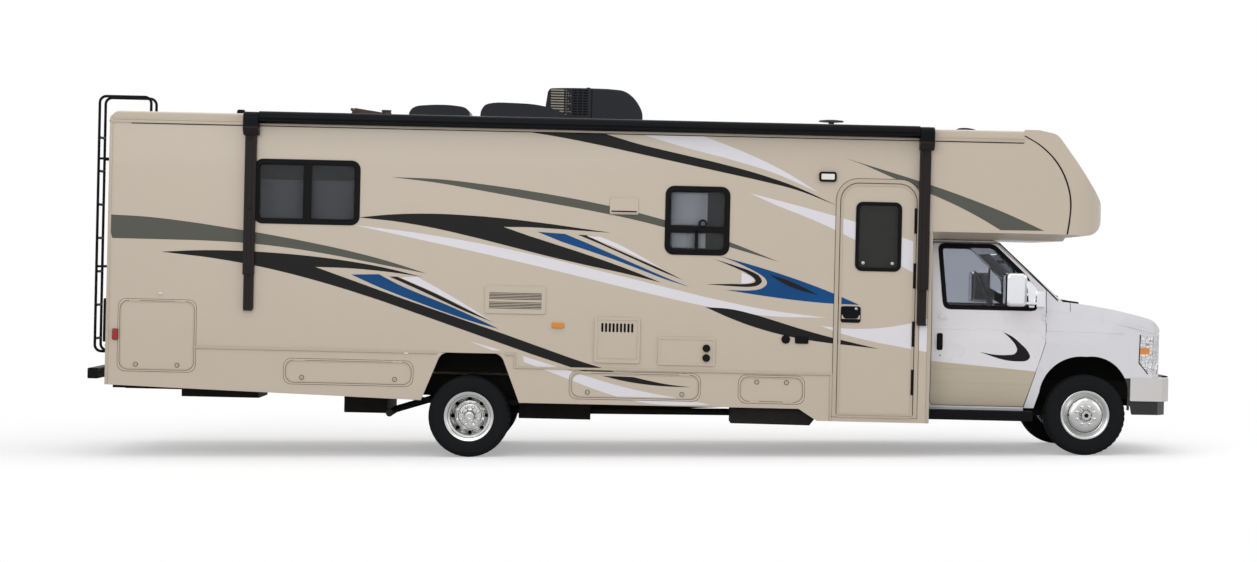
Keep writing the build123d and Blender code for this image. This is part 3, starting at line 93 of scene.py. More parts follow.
# %% Helpers for nodes
def linear(hex_colour, alpha=1.0):
    """sRGB hex to linear RGBA."""
    values = [int(hex_colour[i:i + 2], 16) / 255 for i in (1, 3, 5)]
    return tuple(v / 12.92 if v < 0.04045 else ((v + 0.055) / 1.055) ** 2.4 for v in values) + (alpha,)


def node(tree, kind, inputs=None, **settings):
    """Adds a node; an input given as a socket is linked, anything else is set."""
    made = tree.nodes.new(kind)
    for key, value in settings.items():
        setattr(made, key, value)
    for key, value in (inputs or {}).items():
        socket = made.inputs[key]
        if isinstance(value, bpy.types.NodeSocket):
            tree.links.new(value, socket)
        else:
            socket.default_value = value
    return made


def blank_material(name):
    """A material with an empty tree, its output node and the place on the surface in metres."""
    made = bpy.data.materials.new(name)
    made.use_nodes = True
    tree = made.node_tree
    tree.nodes.clear()
    out = node(tree, "ShaderNodeOutputMaterial")
    return made, tree, out, node(tree, "ShaderNodeTexCoord").outputs["Object"]


print("tan in linear light", [round(v, 3) for v in linear("#C4B7A6")])

# %% [markdown]
# ## A finish that is never quite even
# Real paint drifts a little in colour and gloss over a hand's width, and has a fine relief
# such as orange peel. `finish` builds both from noise whose scale is a real size. A zone
# paints a second colour over part of the surface, as masking tape would leave it.

# %% Finish
def body_axis(tree, place, axis, slope=0.0):
    """Where a surface point is along u, y or w, in metres; slope takes u off w."""
    c, s = math.cos(RAKE), math.sin(RAKE)
    along = {"u": (c, 0, -s), "y": (0, 1, 0), "w": (s - slope * c, 0, c + slope * s)}[axis]
    dot = node(tree, "ShaderNodeVectorMath", {0: place, 1: along}, operation="DOT_PRODUCT").outputs["Value"]
    return node(tree, "ShaderNodeMath", {0: dot, 1: -SHIFT * along[0]}, operation="ADD").outputs[0]


def zone(tree, place, limits):
    """One inside every limit, each given as (axis, "<" or ">", millimetres, slope)."""
    mask = None
    for axis, way, edge_mm, *slope in limits:
        kind = "LESS_THAN" if way == "<" else "GREATER_THAN"
        reach = {0: body_axis(tree, place, axis, *slope), 1: edge_mm / 1000}
        test = node(tree, "ShaderNodeMath", reach, operation=kind).outputs[0]
        if mask is not None:
            test = node(tree, "ShaderNodeMath", {0: mask, 1: test}, operation="MULTIPLY").outputs[0]
        mask = test
    return mask


def finish(name, colour, roughness, metallic=0.0, coat=0.0, vary=0.04, spot_mm=300.0,
           grain_mm=3.0, relief_mm=0.0, rough_vary=0.06, zones=(), **sockets):
    """Principled surface whose colour drifts over spot_mm and whose relief has grain_mm bumps.

    Each zone is (hex colour, limits) and paints over the part of the surface inside them.
    """
    made, tree, out, place = blank_material(name)
    noise = {"Vector": place, "Scale": 1000 / spot_mm, "Detail": 3.0}
    drift = node(tree, "ShaderNodeTexNoise", noise).outputs["Fac"]
    base = linear(colour)[:3]
    dark = tuple(v * (1 - vary) for v in base) + (1.0,)
    light = tuple(min(1.0, v * (1 + vary)) for v in base) + (1.0,)
    tint = node(tree, "ShaderNodeMix", {0: drift, 6: dark, 7: light}, data_type="RGBA").outputs[2]
    for zone_colour, limits in zones:
        masked = {0: zone(tree, place, limits), 6: tint, 7: linear(zone_colour)}
        tint = node(tree, "ShaderNodeMix", masked, data_type="RGBA").outputs[2]
    rough = node(tree, "ShaderNodeMapRange", {
        "Value": drift, "To Min": max(0.02, roughness - rough_vary),
        "To Max": min(1.0, roughness + rough_vary)})
    surface = node(tree, "ShaderNodeBsdfPrincipled", {
        "Base Color": tint, "Roughness": rough.outputs["Result"], "Metallic": metallic,
        "Coat Weight": coat, **sockets})
    if relief_mm:
        noise = {"Vector": place, "Scale": 1000 / grain_mm, "Detail": 2.0}
        grain = node(tree, "ShaderNodeTexNoise", noise).outputs["Fac"]
        bump = node(tree, "ShaderNodeBump", {"Height": grain, "Distance": relief_mm / 1000, "Strength": 1.0})
        tree.links.new(bump.outputs["Normal"], surface.inputs["Normal"])
    tree.links.new(surface.outputs["BSDF"], out.inputs["Surface"])
    return made


print("finish ready")

# %% [markdown]
# ## Paint and film
# The coach walls are fibreglass sheet with a smooth gel-coat: a thin clear gloss over a flat
# colour, with a very faint ripple from the lamination. The stripes are cut vinyl film. The
# cab is sprayed steel under clear lacquer, so it has a stronger coat.

# %% Paint and film
gelcoat = finish("gelcoat_tan", "#C4B7A6", 0.34, coat=0.2, vary=0.015, spot_mm=900, grain_mm=260,
                 relief_mm=0.4)

# dark film mirrors less than the white room would make it, so black stays black
film_gloss = {"Specular IOR Level": 0.15}
FILMS = {
    # sRGB colour, roughness, drift of the colour, size of the drift in mm, more sockets
    "grey": ("#585951", 0.4, 0.03, 300, film_gloss),
    "black": ("#171515", 0.4, 0.05, 300, film_gloss),
    "blue": ("#08467C", 0.36, 0.25, 500, film_gloss),
    "white": ("#E0DDE3", 0.30, 0.01, 300, {}),
}
vinyl = {key: finish(f"vinyl_film_{'pearl' if key == 'white' else key}", colour, rough, vary=drift,
                     spot_mm=spot, grain_mm=3, relief_mm=0.01, **more)
         for key, (colour, rough, drift, spot, more) in FILMS.items()}

# lacquer over steel: a clear hard layer with its own sharp highlight
steel = dict(roughness=0.28, coat=0.7, vary=0.012, spot_mm=700, grain_mm=200, relief_mm=0.12)
lacquer = finish("lacquered_steel_white", "#DDDCE0", **steel)
# near black below w 815 and ahead of u 4500 is the shade in the gap beside and behind the bumper's end:
# painted shade
fender_lacquer_and_gap_shade = finish("lacquered_steel_fender_painted_gap_shade", "#DDDCE0", **steel,
                        zones=[("#070708", [("w", "<", 815), ("u", ">", 4500)])])
door_lacquer = finish("lacquered_steel_two_tone", "#E6E4E7", **steel,
                      zones=[("#C0B49E", [("w", "<", 1152, -0.0795)])])
bumper_paint = finish("painted_bumper", "#D2CFCD", 0.3, coat=0.1, vary=0.02, grain_mm=200, relief_mm=0.1,
                      zones=[("#151312", [("w", "<", 607)])])
print("paints", len(bpy.data.materials))

# %% [markdown]
# ## Dark parts
# Frames are powder-coated aluminium, whose fine orange peel scatters the highlight. Moulded
# ABS and rubber are duller still, and chassis paint is dusty and uneven. All of them give
# back very little light at a glance, which is what `matt` says.

# %% Powder coat, plastics and rubber
matt = {"Specular IOR Level": 0.08}
powder_black = finish("powder_coated_black", "#0E0E10", 0.42, vary=0.08, grain_mm=1.5, relief_mm=0.06, **matt)
abs_black = finish("moulded_abs_black", "#101013", 0.55, vary=0.08, grain_mm=2.0, relief_mm=0.12, **matt)
awning_paint = finish("awning_powder_coat", "#0B0C10", 0.4, vary=0.08, grain_mm=1.5, relief_mm=0.06,
                      zones=[("#2A2525", [("w", "<", 2935)])], **matt)
chassis_paint = finish("chassis_paint_black", "#242220", 0.62, vary=0.25, spot_mm=120, grain_mm=6,
                       relief_mm=0.4, **matt)
rubber = finish("tyre_rubber", "#1A1B1D", 0.75, vary=0.12, spot_mm=60, grain_mm=4, relief_mm=0.15, **matt)
seal_rubber = finish("epdm_seal_rubber", "#0D0D0F", 0.6, vary=0.1, grain_mm=2, relief_mm=0.05, **matt)
shroud_grey = finish("moulded_shroud_grey", "#2B2C31", 0.5, vary=0.06, grain_mm=2.0, relief_mm=0.1, **matt)
mast_brown = finish("weathered_mast_plastic", "#4A4038", 0.6, vary=0.2, spot_mm=60, grain_mm=3, relief_mm=0.1,
                    **matt)
dash = finish("grained_dash_plastic", "#3F3E3D", 0.7, vary=0.05, grain_mm=2, relief_mm=0.15)
# near-black board set where there is only the dark of an unlit room or opening: painted shade
painted_shade_board = finish("black_board_painted_shade", "#0E0F10", 0.9, vary=0.06, spot_mm=90, grain_mm=3, relief_mm=0.1,
                 **matt)
print("dark finishes done")

# %% [markdown]
# ## Metal, trim, cloth and lenses
# Bare metal takes its colour from its reflections, so only its roughness tells a polished
# liner (0.16) from anodised trim (0.32). Cloth has no clear highlight at all; its weave
# shows as relief 1 mm across. A coloured lens is glossy under a thin hard coat.

# %% Metal, trim, cloth and lenses
polished = finish("polished_steel_liner", "#CFCFCE", 0.16, metallic=1.0, vary=0.03, spot_mm=60, grain_mm=90,
                  relief_mm=0.25, rough_vary=0.05)
chrome = finish("chrome_plate", "#E4E5E8", 0.06, metallic=1.0, vary=0.02, grain_mm=60, relief_mm=0.02,
                rough_vary=0.02)
anodised = finish("anodised_aluminium", "#A9AAAC", 0.32, metallic=1.0, vary=0.05, grain_mm=30, relief_mm=0.02)
fin_stock = finish("coil_fin_aluminium", "#9C9589", 0.6, vary=0.2, spot_mm=60, grain_mm=4, relief_mm=0.3)
trim = dict(coat=0.2, vary=0.02, grain_mm=40, relief_mm=0.02)
trim_tan = finish("extruded_trim_tan", "#BAAD9B", 0.36, **trim)
trim_white = finish("extruded_trim_white", "#D5D3CF", 0.34, **trim)
abs_tan = finish("moulded_abs_tan", "#C3B6A5", 0.42, vary=0.02, grain_mm=2, relief_mm=0.05)
board = finish("interior_board", "#8F8471", 0.6, vary=0.05, spot_mm=150, grain_mm=5, relief_mm=0.05)
membrane = finish("roof_membrane", "#DAD7D0", 0.6, vary=0.05, spot_mm=400, grain_mm=30, relief_mm=0.3,
                  zones=[("#C4B7A6", [("w", "<", 3048)])])
cloth = finish("woven_seat_cloth", "#4A4743", 0.9, vary=0.15, spot_mm=12, grain_mm=1.2, relief_mm=0.5,
               **{"Sheen Weight": 0.3})
# cloths behind the window glass, their greys set to the reflection seen in the panes: painted reflection
shade = finish("pleated_cloth_painted_reflection", "#4C4C53", 0.8, vary=0.03, spot_mm=200, grain_mm=3, relief_mm=0.1)
pale_reflection_cloth = finish("pale_cloth_painted_reflection", "#BBBDC3", 0.8, vary=0.02, spot_mm=200, grain_mm=3, relief_mm=0.1)
awning_vinyl = finish("awning_vinyl_navy", "#0B0E16", 0.36, vary=0.1, grain_mm=2, relief_mm=0.05, **matt)
coloured = dict(roughness=0.12, coat=0.5, vary=0.1, spot_mm=25, grain_mm=8, relief_mm=0.4)
red_lens = finish("red_lens", "#9E1219", **coloured)
amber_lens = finish("amber_lens", "#DC861C", **coloured)
white_lens = finish("frosted_lamp_lens", "#E6E4DE", 0.2, coat=0.4, vary=0.02, spot_mm=25, grain_mm=6,
                    relief_mm=0.2)
print("finishes", len(bpy.data.materials))

# %% [markdown]
# ## Lamp and glass
# A headlamp is a bright reflector pressed into facets. Each facet gets a random lighter or
# darker tone that stands for the glints of the chrome, which is a painted reflection, and a
# grey line along the facet edges is painted shade. A pane is drawn as one thin sheet, and a
# lower index than solid glass gives it the faint mirror of a coated pane. Obscure glass has
# ripples 16 mm across that hide the inside.

# %% Lamp and glass
FACET_MM, FACET_DEPTH_MM = 34, 4


def faceted_lamp(name):
    """Reflector facets with painted glints and painted shade along their edges, under a clear cover, with the
    amber turn lamp.
    """
    made, tree, out, place = blank_material(name)
    facet = {"Vector": place, "Scale": 1000 / FACET_MM}
    cells = node(tree, "ShaderNodeTexVoronoi", facet, distance="CHEBYCHEV")
    edges = node(tree, "ShaderNodeTexVoronoi", facet, distance="CHEBYCHEV", feature="F2")
    gap = node(tree, "ShaderNodeMath", {0: edges.outputs["Distance"], 1: cells.outputs["Distance"]},
               operation="SUBTRACT").outputs[0]
    # grey along facet edges is painted shade; the random facet tones below are painted reflection
    rim = node(tree, "ShaderNodeMapRange", {"Value": gap, "From Min": 0.02, "From Max": 0.12})
    amber = zone(tree, place, [("u", "<", 4736), ("w", ">", 1038), ("w", "<", 1096)])
    tones = {0: cells.outputs["Color"], 6: linear("#D2D2D6"), 7: linear("#FFFFFF")}
    painted_glints = node(tree, "ShaderNodeMix", tones, data_type="RGBA").outputs[2]
    tones = {0: rim.outputs["Result"], 6: linear("#97989C"), 7: painted_glints}
    clear = node(tree, "ShaderNodeMix", tones, data_type="RGBA").outputs[2]
    tones = {0: amber, 6: clear, 7: linear("#E58A3C")}
    tint = node(tree, "ShaderNodeMix", tones, data_type="RGBA").outputs[2]
    pressed = {"Height": cells.outputs["Distance"], "Distance": FACET_DEPTH_MM / 1000, "Strength": 1.0}
    bump = node(tree, "ShaderNodeBump", pressed)
    surface = node(tree, "ShaderNodeBsdfPrincipled", {
        "Base Color": tint, "Roughness": 0.15, "Metallic": 0.2, "Coat Weight": 1.0,
        "Normal": bump.outputs["Normal"]})
    tree.links.new(surface.outputs["BSDF"], out.inputs["Surface"])
    return made


def glass(name, tint, roughness, see_through, ior, ripple_mm=0.6, ripple_size_mm=500):
    """Tinted pane with a faint mirror that lets see_through of the light pass."""
    made, tree, out, place = blank_material(name)
    wave = node(tree, "ShaderNodeTexNoise", {"Vector": place, "Scale": 1000 / ripple_size_mm, "Detail": 1.0})
    ripple = {"Height": wave.outputs["Fac"], "Distance": ripple_mm / 1000, "Strength": 1.0}
    bump = node(tree, "ShaderNodeBump", ripple)
    surface = node(tree, "ShaderNodeBsdfPrincipled", {
        "Base Color": linear(tint), "Roughness": roughness, "IOR": ior,
        "Transmission Weight": see_through, "Normal": bump.outputs["Normal"]})
    tree.links.new(surface.outputs["BSDF"], out.inputs["Surface"])
    return made


lamp_painted_glints = faceted_lamp("headlamp_facets_painted_glints")
dark_glass = glass("privacy_glass", "#CFD1D3", 0.03, 0.97, 1.2)
door_pane = glass("obscure_door_glass", "#8C8C86", 0.1, 0.92, 1.25, ripple_mm=2.5, ripple_size_mm=16)
cab_glass = glass("laminated_cab_glass", "#BEC1C9", 0.01, 0.98, 1.3)
screen_glass = glass("windscreen_glass", "#8C9096", 0.02, 0.92, 1.4)
print("finishes", len(bpy.data.materials))

# %% [markdown]
# ## Dressing the frame
# A rigid part whose shape is right keeps its shape and only gets a finish. The parts are
# listed by finish, so that a look is changed in one place, and a part left out is printed.

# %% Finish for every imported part
FINISHES = [
    (gelcoat, "house_wall_right house_wall_left house_wall_rear side_skirts overcab_cap "
              "entry_door hatch_rear hatch_mid_rear hatch_mid_front hatch_front"),
    (membrane, "house_roof"),
    (lacquer, "cab_shell hood"),
    (fender_lacquer_and_gap_shade, "front_fenders"),
    (door_lacquer, "cab_door_right cab_door_left"),
    (bumper_paint, "front_bumper"),
    (powder_black, "rear_ladder rear_bumper"),
    (awning_paint, "awning"),
    (abs_black, "roof_air_conditioner roof_vents running_boards front_grille"),
    (chassis_paint, "chassis_frame engine_block driveline exhaust_system generator rear_axle "
                    "leaf_springs front_axle_beams front_springs knuckle_right knuckle_left "
                    "wheel_houses under_floor_tanks"),
    (rubber, "front_tyre_right front_tyre_left rear_tyres_right rear_tyres_left"),
    (polished, "front_wheel_right front_wheel_left rear_wheels_right rear_wheels_left"),
    (lamp_painted_glints, "headlamps"),
    (chrome, "mirror_right mirror_left"),
    (board, "house_wall_front house_floor storage_boxes"),
    (cloth, "cab_seats"),
    (dash, "dashboard"),
    (dark_glass, "house_windows"),
    (door_pane, "entry_door_window"),
    (cab_glass, "door_glass_right door_glass_left windscreen"),
    (red_lens, "tail_lamps"),
]
dressed = set()
for material, names in FINISHES:
    for name in names.split():
        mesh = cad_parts[name].data
        mesh.materials.clear()
        mesh.materials.append(material)
        dressed.add(name)
print("parts without a finish:", sorted(set(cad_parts) - dressed))

# %% [markdown]
# ## Outlines made solid
# Most trim is an outline seen from the side, given a thickness. Each helper returns
# vertices and faces. `on_wall` and `frame_on_wall` place such a part on the coach's side:
# from a little inside the skin, so that no gap shows, to `out` millimetres beyond it. A
# filled curve could be extruded too, but plain faces join into one piece and can bend with
# the surface they lie on.

# %% Flat solids
def rounded(u0, u1, w0, w1, radius, steps=6):
    """Rectangle with round corners as a list of (u, w), anticlockwise."""
    points = []
    for cu, cw, start in ((u1 - radius, w1 - radius, 0), (u0 + radius, w1 - radius, 90),
                          (u0 + radius, w0 + radius, 180), (u1 - radius, w0 + radius, 270)):
        for i in range(steps + 1):
            angle = math.radians(start + 90 * i / steps)
            points.append((cu + radius * math.cos(angle), cw + radius * math.sin(angle)))
    return points


def slab(outline, y0, y1, place=None):
    """Side-view outline made solid between two y values."""
    place = place or at
    n = len(outline)
    verts = [place(u, y0, w) for u, w in outline] + [place(u, y1, w) for u, w in outline]
    faces = [tuple(range(n)), tuple(range(2 * n - 1, n - 1, -1))]
    faces += [(i, i + n, (i + 1) % n + n, (i + 1) % n) for i in range(n)]
    return verts, faces


def ring_faces(n):
    """Faces of a closed frame of four rows of n points: outer and inner, near and far."""
    faces = []
    for i in range(n):
        j = (i + 1) % n
        faces += [(i, j, j + n, i + n), (i + 2 * n, i + 3 * n, j + 3 * n, j + 2 * n)]
        faces += [(i, i + 2 * n, j + 2 * n, j), (i + n, j + n, j + 3 * n, i + 3 * n)]
    return faces


def ring(outer, inner, y0, y1, place=None):
    """Frame between two outlines of the same length, made solid between two y values."""
    place = place or at
    verts = [place(u, y, w) for y in (y0, y1) for line in (outer, inner) for u, w in line]
    return verts, ring_faces(len(outer))


def inset(box, amount, radius, steps=6):
    """Rounded outline that lies amount inside a (u0, u1, w0, w1) box; outside it if negative."""
    u0, u1, w0, w1 = box
    return rounded(u0 + amount, u1 - amount, w0 + amount, w1 - amount, radius, steps)


def brick(u0, u1, y0, y1, w0, w1, place=None):
    """Upright box by its six faces."""
    return slab([(u0, w0), (u1, w0), (u1, w1), (u0, w1)], y0, y1, place)


def on_wall(outline, out, sink=1.0, side=-1):
    """Outline made solid on a coach wall."""
    return slab(outline, side * (SIDE - sink), side * (SIDE + out))


def frame_on_wall(outer, inner, out, sink=1.0, side=-1):
    """Frame made solid on a coach wall."""
    return ring(outer, inner, side * (SIDE - sink), side * (SIDE + out))


print("a round-cornered plate has", len(slab(rounded(0, 10, 0, 10, 2), 0, 1)[1]), "faces")

# %% [markdown]
# ## Turned parts and bars
# A lathe part is one closed profile carried round an axis, and a bar is a circle carried
# along a line. Blender's screw modifier turns a profile as well; here the points are worked
# out at once, so that `place` can put them on a wheel or a leaning column.

# %% Turned parts and bars
def turned_faces(steps, n):
    """Faces between steps copies of a closed profile of n points."""
    faces = []
    for k in range(steps):
        k2 = (k + 1) % steps
        faces += [(k * n + i, k * n + (i + 1) % n, k2 * n + (i + 1) % n, k2 * n + i) for i in range(n)]
    return faces


def lathe(profile, centre, axis="y", steps=48, place=None):
    """Closed (distance, radius) profile turned about an axis through centre."""
    place = place or at
    verts = []
    for k in range(steps):
        a = 2 * math.pi * k / steps
        for d, r in profile:
            c, s = r * math.cos(a), r * math.sin(a)
            shift = {"y": (c, d, s), "u": (d, c, s), "w": (c, s, d)}[axis]
            verts.append(place(*(centre[i] + shift[i] for i in range(3))))
    return verts, turned_faces(steps, len(profile))


def tube_faces(rings, sides):
    """Faces along a row of rings, with both ends closed."""
    faces = []
    for i in range(rings - 1):
        for k in range(sides):
            k2 = (k + 1) % sides
            faces.append((i * sides + k, i * sides + k2, (i + 1) * sides + k2, (i + 1) * sides + k))
    last = (rings - 1) * sides
    return faces + [tuple(range(sides))[::-1], tuple(range(last, last + sides))]


def rod(points, radius, sides=12, place=None):
    """Round bar along a line of (u, y, w) points, with closed ends."""
    place = place or at
    path = [place(*p) for p in points]
    verts = []
    for i, p in enumerate(path):
        ahead = (path[min(i + 1, len(path) - 1)] - path[max(i - 1, 0)]).normalized()
        side = ahead.cross(Vector((0, 0, 1)) if abs(ahead.z) < 0.9 else Vector((1, 0, 0))).normalized()
        up = side.cross(ahead)
        for k in range(sides):
            a = 2 * math.pi * k / sides
            verts.append(p + (side * math.cos(a) + up * math.sin(a)) * radius / 1000)
    return verts, tube_faces(len(path), sides)


print("a short rod has", len(rod([(0, 0, 0), (0, 0, 9)], 1)[1]), "faces")

# %% [markdown]
# ## One piece
# `piece` joins any number of parts into one object, gives it a finish, softens its edges
# and lets it ride on a body. Real edges are never knife-sharp, and a bevel of a millimetre
# or two is enough to catch the light. `cloth_thickness` gives a drawn sheet the thickness
# of cloth.

# %% Piece
def link_mesh(name, mesh, material, body):
    """Object for a mesh, with one material, riding on a body."""
    mesh.materials.append(material)
    made = bpy.data.objects.new(name, mesh)
    bpy.context.scene.collection.objects.link(made)
    if body:
        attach(made, body)
    return made


def piece(name, parts, material, body="coach", bevel_mm=0.0, sharp=35, stands_for=None):
    """Joins parts into one object with a finish, outward faces and crisp edges."""
    verts, faces = [], []
    for part_verts, part_faces in parts:
        faces += [tuple(i + len(verts) for i in face) for face in part_faces]
        verts += part_verts
    mesh = bpy.data.meshes.new(name)
    mesh.from_pydata(verts, [], faces)
    work = bmesh.new()
    work.from_mesh(mesh)
    bmesh.ops.remove_doubles(work, verts=work.verts, dist=1e-6)
    bmesh.ops.recalc_face_normals(work, faces=work.faces)
    work.to_mesh(mesh)
    work.free()
    made = link_mesh(name, mesh, material, body)
    if bevel_mm:
        soft = made.modifiers.new("soft edges", "BEVEL")
        soft.width, soft.segments, soft.limit_method = bevel_mm / 1000, 2, "ANGLE"
    mesh.shade_smooth()
    mesh.set_sharp_from_angle(angle=math.radians(sharp))
    if stands_for:
        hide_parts(stands_for)
    return made


def cloth_thickness(made):
    """Gives a drawn sheet 0.6 mm, half to each side."""
    thick = made.modifiers.new("cloth thickness", "SOLIDIFY")
    thick.thickness, thick.offset = 0.0006, 0.0


print("mesh helpers ready")

# %% [markdown]
# ## Printed stripes
# Each stripe is cut from vinyl film and laid on the wall, so it is a thin sheet. Its edges
# are smooth curves through a few points, and each edge starts where the last one ended.
# The panels are the leaves that the film is cut round, and no film lies in the holes.

# %% Stripe outlines
STRIPES = [
    # name, film, edges as (u, w) points
    ("grey_rear", "grey", [
        [(-4850, 2110), (-4484, 2096), (-4117, 2061), (-3751, 2014), (-3384, 1962), (-3018, 1901),
         (-2652, 1830), (-2285, 1743), (-1919, 1635)],
        [(-2337, 1707), (-2755, 1781), (-3173, 1840), (-3591, 1878), (-4009, 1892), (-4427, 1893),
         (-4845, 1895)]]),
    ("grey_mid", "grey", [
        [(-2263, 2507), (-1819, 2497), (-1376, 2455), (-932, 2399), (-488, 2329), (-44, 2241), (400, 2126),
         (843, 1981), (1287, 1814)],
        [(843, 1937), (400, 2064), (-44, 2169), (-488, 2251), (-932, 2321), (-1376, 2391), (-1819, 2461),
         (-2263, 2507)]]),
    ("grey_front", "grey", [
        [(1866, 2773), (2171, 2687), (2476, 2600), (2780, 2506), (3085, 2402), (3390, 2285), (3695, 2152)],
        [(3297, 2149)],
        [(3118, 2251), (2939, 2342), (2760, 2421), (2582, 2493), (2403, 2564), (2224, 2639), (2045, 2713),
         (1866, 2773)]]),
    ("white_top", "white", [
        [(9, 2948), (564, 2945)],
        [(830, 2852), (1095, 2745), (1360, 2616), (1626, 2456)],
        [(1222, 2623), (818, 2738), (413, 2835), (9, 2948)]]),
    ("white_long", "white", [
        [(-2593, 2062), (-2052, 2008), (-1512, 1932), (-972, 1833), (-431, 1717), (110, 1593), (650, 1474),
         (1190, 1375), (1731, 1315)],
        [(1190, 1320), (650, 1392), (110, 1499), (-431, 1619), (-972, 1738), (-1512, 1850), (-2052, 1956),
         (-2593, 2062)]]),
    ("white_low", "white", [
        [(-1517, 1028), (-1242, 956), (-967, 886), (-692, 806), (-418, 725), (-143, 651), (132, 594),
         (407, 551), (682, 499)],
        [(407, 488), (132, 498), (-143, 548), (-418, 633), (-692, 734), (-967, 833), (-1242, 925),
         (-1517, 1028)]]),
    ("white_door", "white", [
        [(1002, 2436), (1240, 2380), (1478, 2323), (1716, 2263), (1953, 2200), (2191, 2131), (2429, 2055),
         (2667, 1970)],
        [(2674, 1673)],
        [(2435, 1783), (2196, 1912), (1957, 2038), (1719, 2149), (1480, 2245), (1241, 2334), (1002, 2436)]]),
    ("white_handle", "white", [
        [(1673, 1242), (1871, 1223), (2069, 1222), (2266, 1239), (2464, 1275), (2662, 1330)],
        [(2669, 1019)],
        [(2420, 1063), (2171, 1105), (1922, 1160), (1673, 1242)]]),
    ("black_top", "black", [
        [(-1101, 2957), (-734, 2965), (-375, 2959)],
        [(-11, 2858), (352, 2779), (716, 2702), (1080, 2612), (1443, 2495), (1807, 2337)],
        [(1444, 2469), (1080, 2554), (716, 2625), (353, 2696), (-10, 2769), (-374, 2842), (-738, 2906),
         (-1101, 2957)]]),
    ("black_rear", "black", [
        [(-4349, 1780), (-4008, 1801), (-3667, 1805), (-3326, 1794), (-2985, 1771), (-2644, 1734),
         (-2303, 1680), (-1962, 1604)],
        [(-2157, 1630), (-2352, 1650), (-2547, 1664), (-2742, 1671), (-2937, 1673)],
        [(-2593, 1557), (-2249, 1440), (-1905, 1327), (-1561, 1216), (-1217, 1105), (-873, 990), (-529, 876),
         (-185, 778)],
        [(-476, 777)],
        [(-960, 926), (-1444, 1085), (-1928, 1247), (-2412, 1403), (-2897, 1541), (-3381, 1653),
         (-3865, 1732), (-4349, 1780)]]),
    ("black_mid", "black", [
        [(-2555, 2133), (-2226, 2169), (-1896, 2182), (-1567, 2175), (-1237, 2155), (-908, 2124),
         (-578, 2086), (-249, 2045)],
        [(-626, 2063), (-976, 2078), (-1230, 2076)],
        [(-989, 1998), (-747, 1926), (-506, 1854), (-265, 1777), (-23, 1693), (218, 1601)],
        [(-129, 1679), (-475, 1746), (-822, 1819), (-1168, 1899), (-1515, 1980), (-1862, 2051),
         (-2208, 2103), (-2555, 2133)]]),
    ("black_front", "black", [
        [(625, 1387), (852, 1375), (1079, 1328), (1306, 1264), (1532, 1199), (1759, 1141), (1986, 1090),
         (2213, 1042)],
        [(1986, 1065), (1759, 1085), (1532, 1113), (1306, 1155), (1079, 1214), (852, 1292), (625, 1387)]]),
    ("black_hatch", "black", [
        [(-300, 739), (-155, 738), (-16, 735)],
        [(123, 705), (299, 675), (503, 655)],
        [(302, 656), (102, 669), (-99, 696), (-300, 739)]]),
    ("blue_rear", "blue", [
        [(-2609, 1611), (-2356, 1620)],
        [(-2172, 1528), (-1988, 1453), (-1804, 1383), (-1620, 1309), (-1436, 1229), (-1252, 1145)],
        [(-1478, 1203), (-1704, 1273), (-1930, 1349), (-2157, 1429), (-2383, 1514), (-2609, 1611)]]),
    ("blue_mid", "blue", [
        [(-923, 2039), (-669, 2025)],
        [(-478, 1951), (-287, 1873), (-96, 1794), (94, 1715), (285, 1638), (476, 1568)],
        [(243, 1636), (10, 1721), (-224, 1804), (-457, 1879), (-690, 1951), (-923, 2039)]]),
    ("blue_front", "blue", [
        [(737, 1857), (995, 1792), (1252, 1720), (1510, 1639), (1767, 1547), (2025, 1440)],
        [(1781, 1445), (1537, 1461), (1292, 1485), (1048, 1515), (804, 1549)],
        [(1012, 1548), (1130, 1568), (1179, 1613), (1168, 1653), (1118, 1695), (1027, 1743), (887, 1805),
         (737, 1857)]]),
    ("line_rear", "black", [
        [(-2263, 1601), (-2189, 1601)],
        [(-1836, 1455), (-1553, 1321), (-1306, 1205)],
        [(-1545, 1293), (-1784, 1395), (-2024, 1501), (-2263, 1601)]]),
    ("line_mid", "black", [
        [(-555, 2021), (-476, 2018)],
        [(-298, 1937), (-120, 1863), (59, 1790), (237, 1714), (415, 1630)],
        [(221, 1702), (27, 1782), (-167, 1864), (-361, 1946), (-555, 2021)]]),
    ("line_blue", "black", [
        [(1197, 1699), (1346, 1657), (1506, 1591), (1657, 1519)],
        [(1487, 1559), (1347, 1611), (1197, 1699)]]),
    ("white_rear", "white", [
        [(-2163, 1596), (-2006, 1603)],
        [(-1838, 1516), (-1572, 1365), (-1306, 1205)],
        [(-1520, 1313), (-1734, 1414), (-1949, 1508), (-2163, 1596)]]),
    ("white_mid", "white", [
        [(-467, 2009), (-346, 2005)],
        [(-194, 1948), (-42, 1873), (111, 1789), (263, 1705), (415, 1630)],
        [(239, 1716), (62, 1797), (-114, 1874), (-291, 1945), (-467, 2009)]]),
    ("hook_front", "black", [
        [(688, 1830), (888, 1771), (1028, 1725), (1108, 1681), (1133, 1632), (1100, 1598), (1031, 1582),
         (852, 1584), (624, 1597)],
        [(852, 1604), (1010, 1609), (1073, 1629), (1065, 1656), (988, 1708), (848, 1768), (688, 1830)]]),
    ("shine_front", "white", [
        [(949, 1713), (1029, 1675), (1061, 1644), (1030, 1620), (947, 1610)],
        [(949, 1713)]]),
]
PANELS = [
    # name, u0, u1, w0, w1, corner
    ("entry_door", 1838, 2530, 427, 2546, 165),
    ("hatch_rear", -4707, -4028, 704, 1329, 75),
    ("hatch_mid_rear", -3190, -2043, 619, 819, 75),
    ("hatch_mid_front", -583, 578, 542, 761, 75),
    ("hatch_front", 958, 1528, 538, 760, 75),
]
PANEL_GAP = 6
REAR_HOLE, ARCH_HOLE = (-3512, -2543, 2058, 2649, 82), (-1985, -1020, 400, 950, 90)
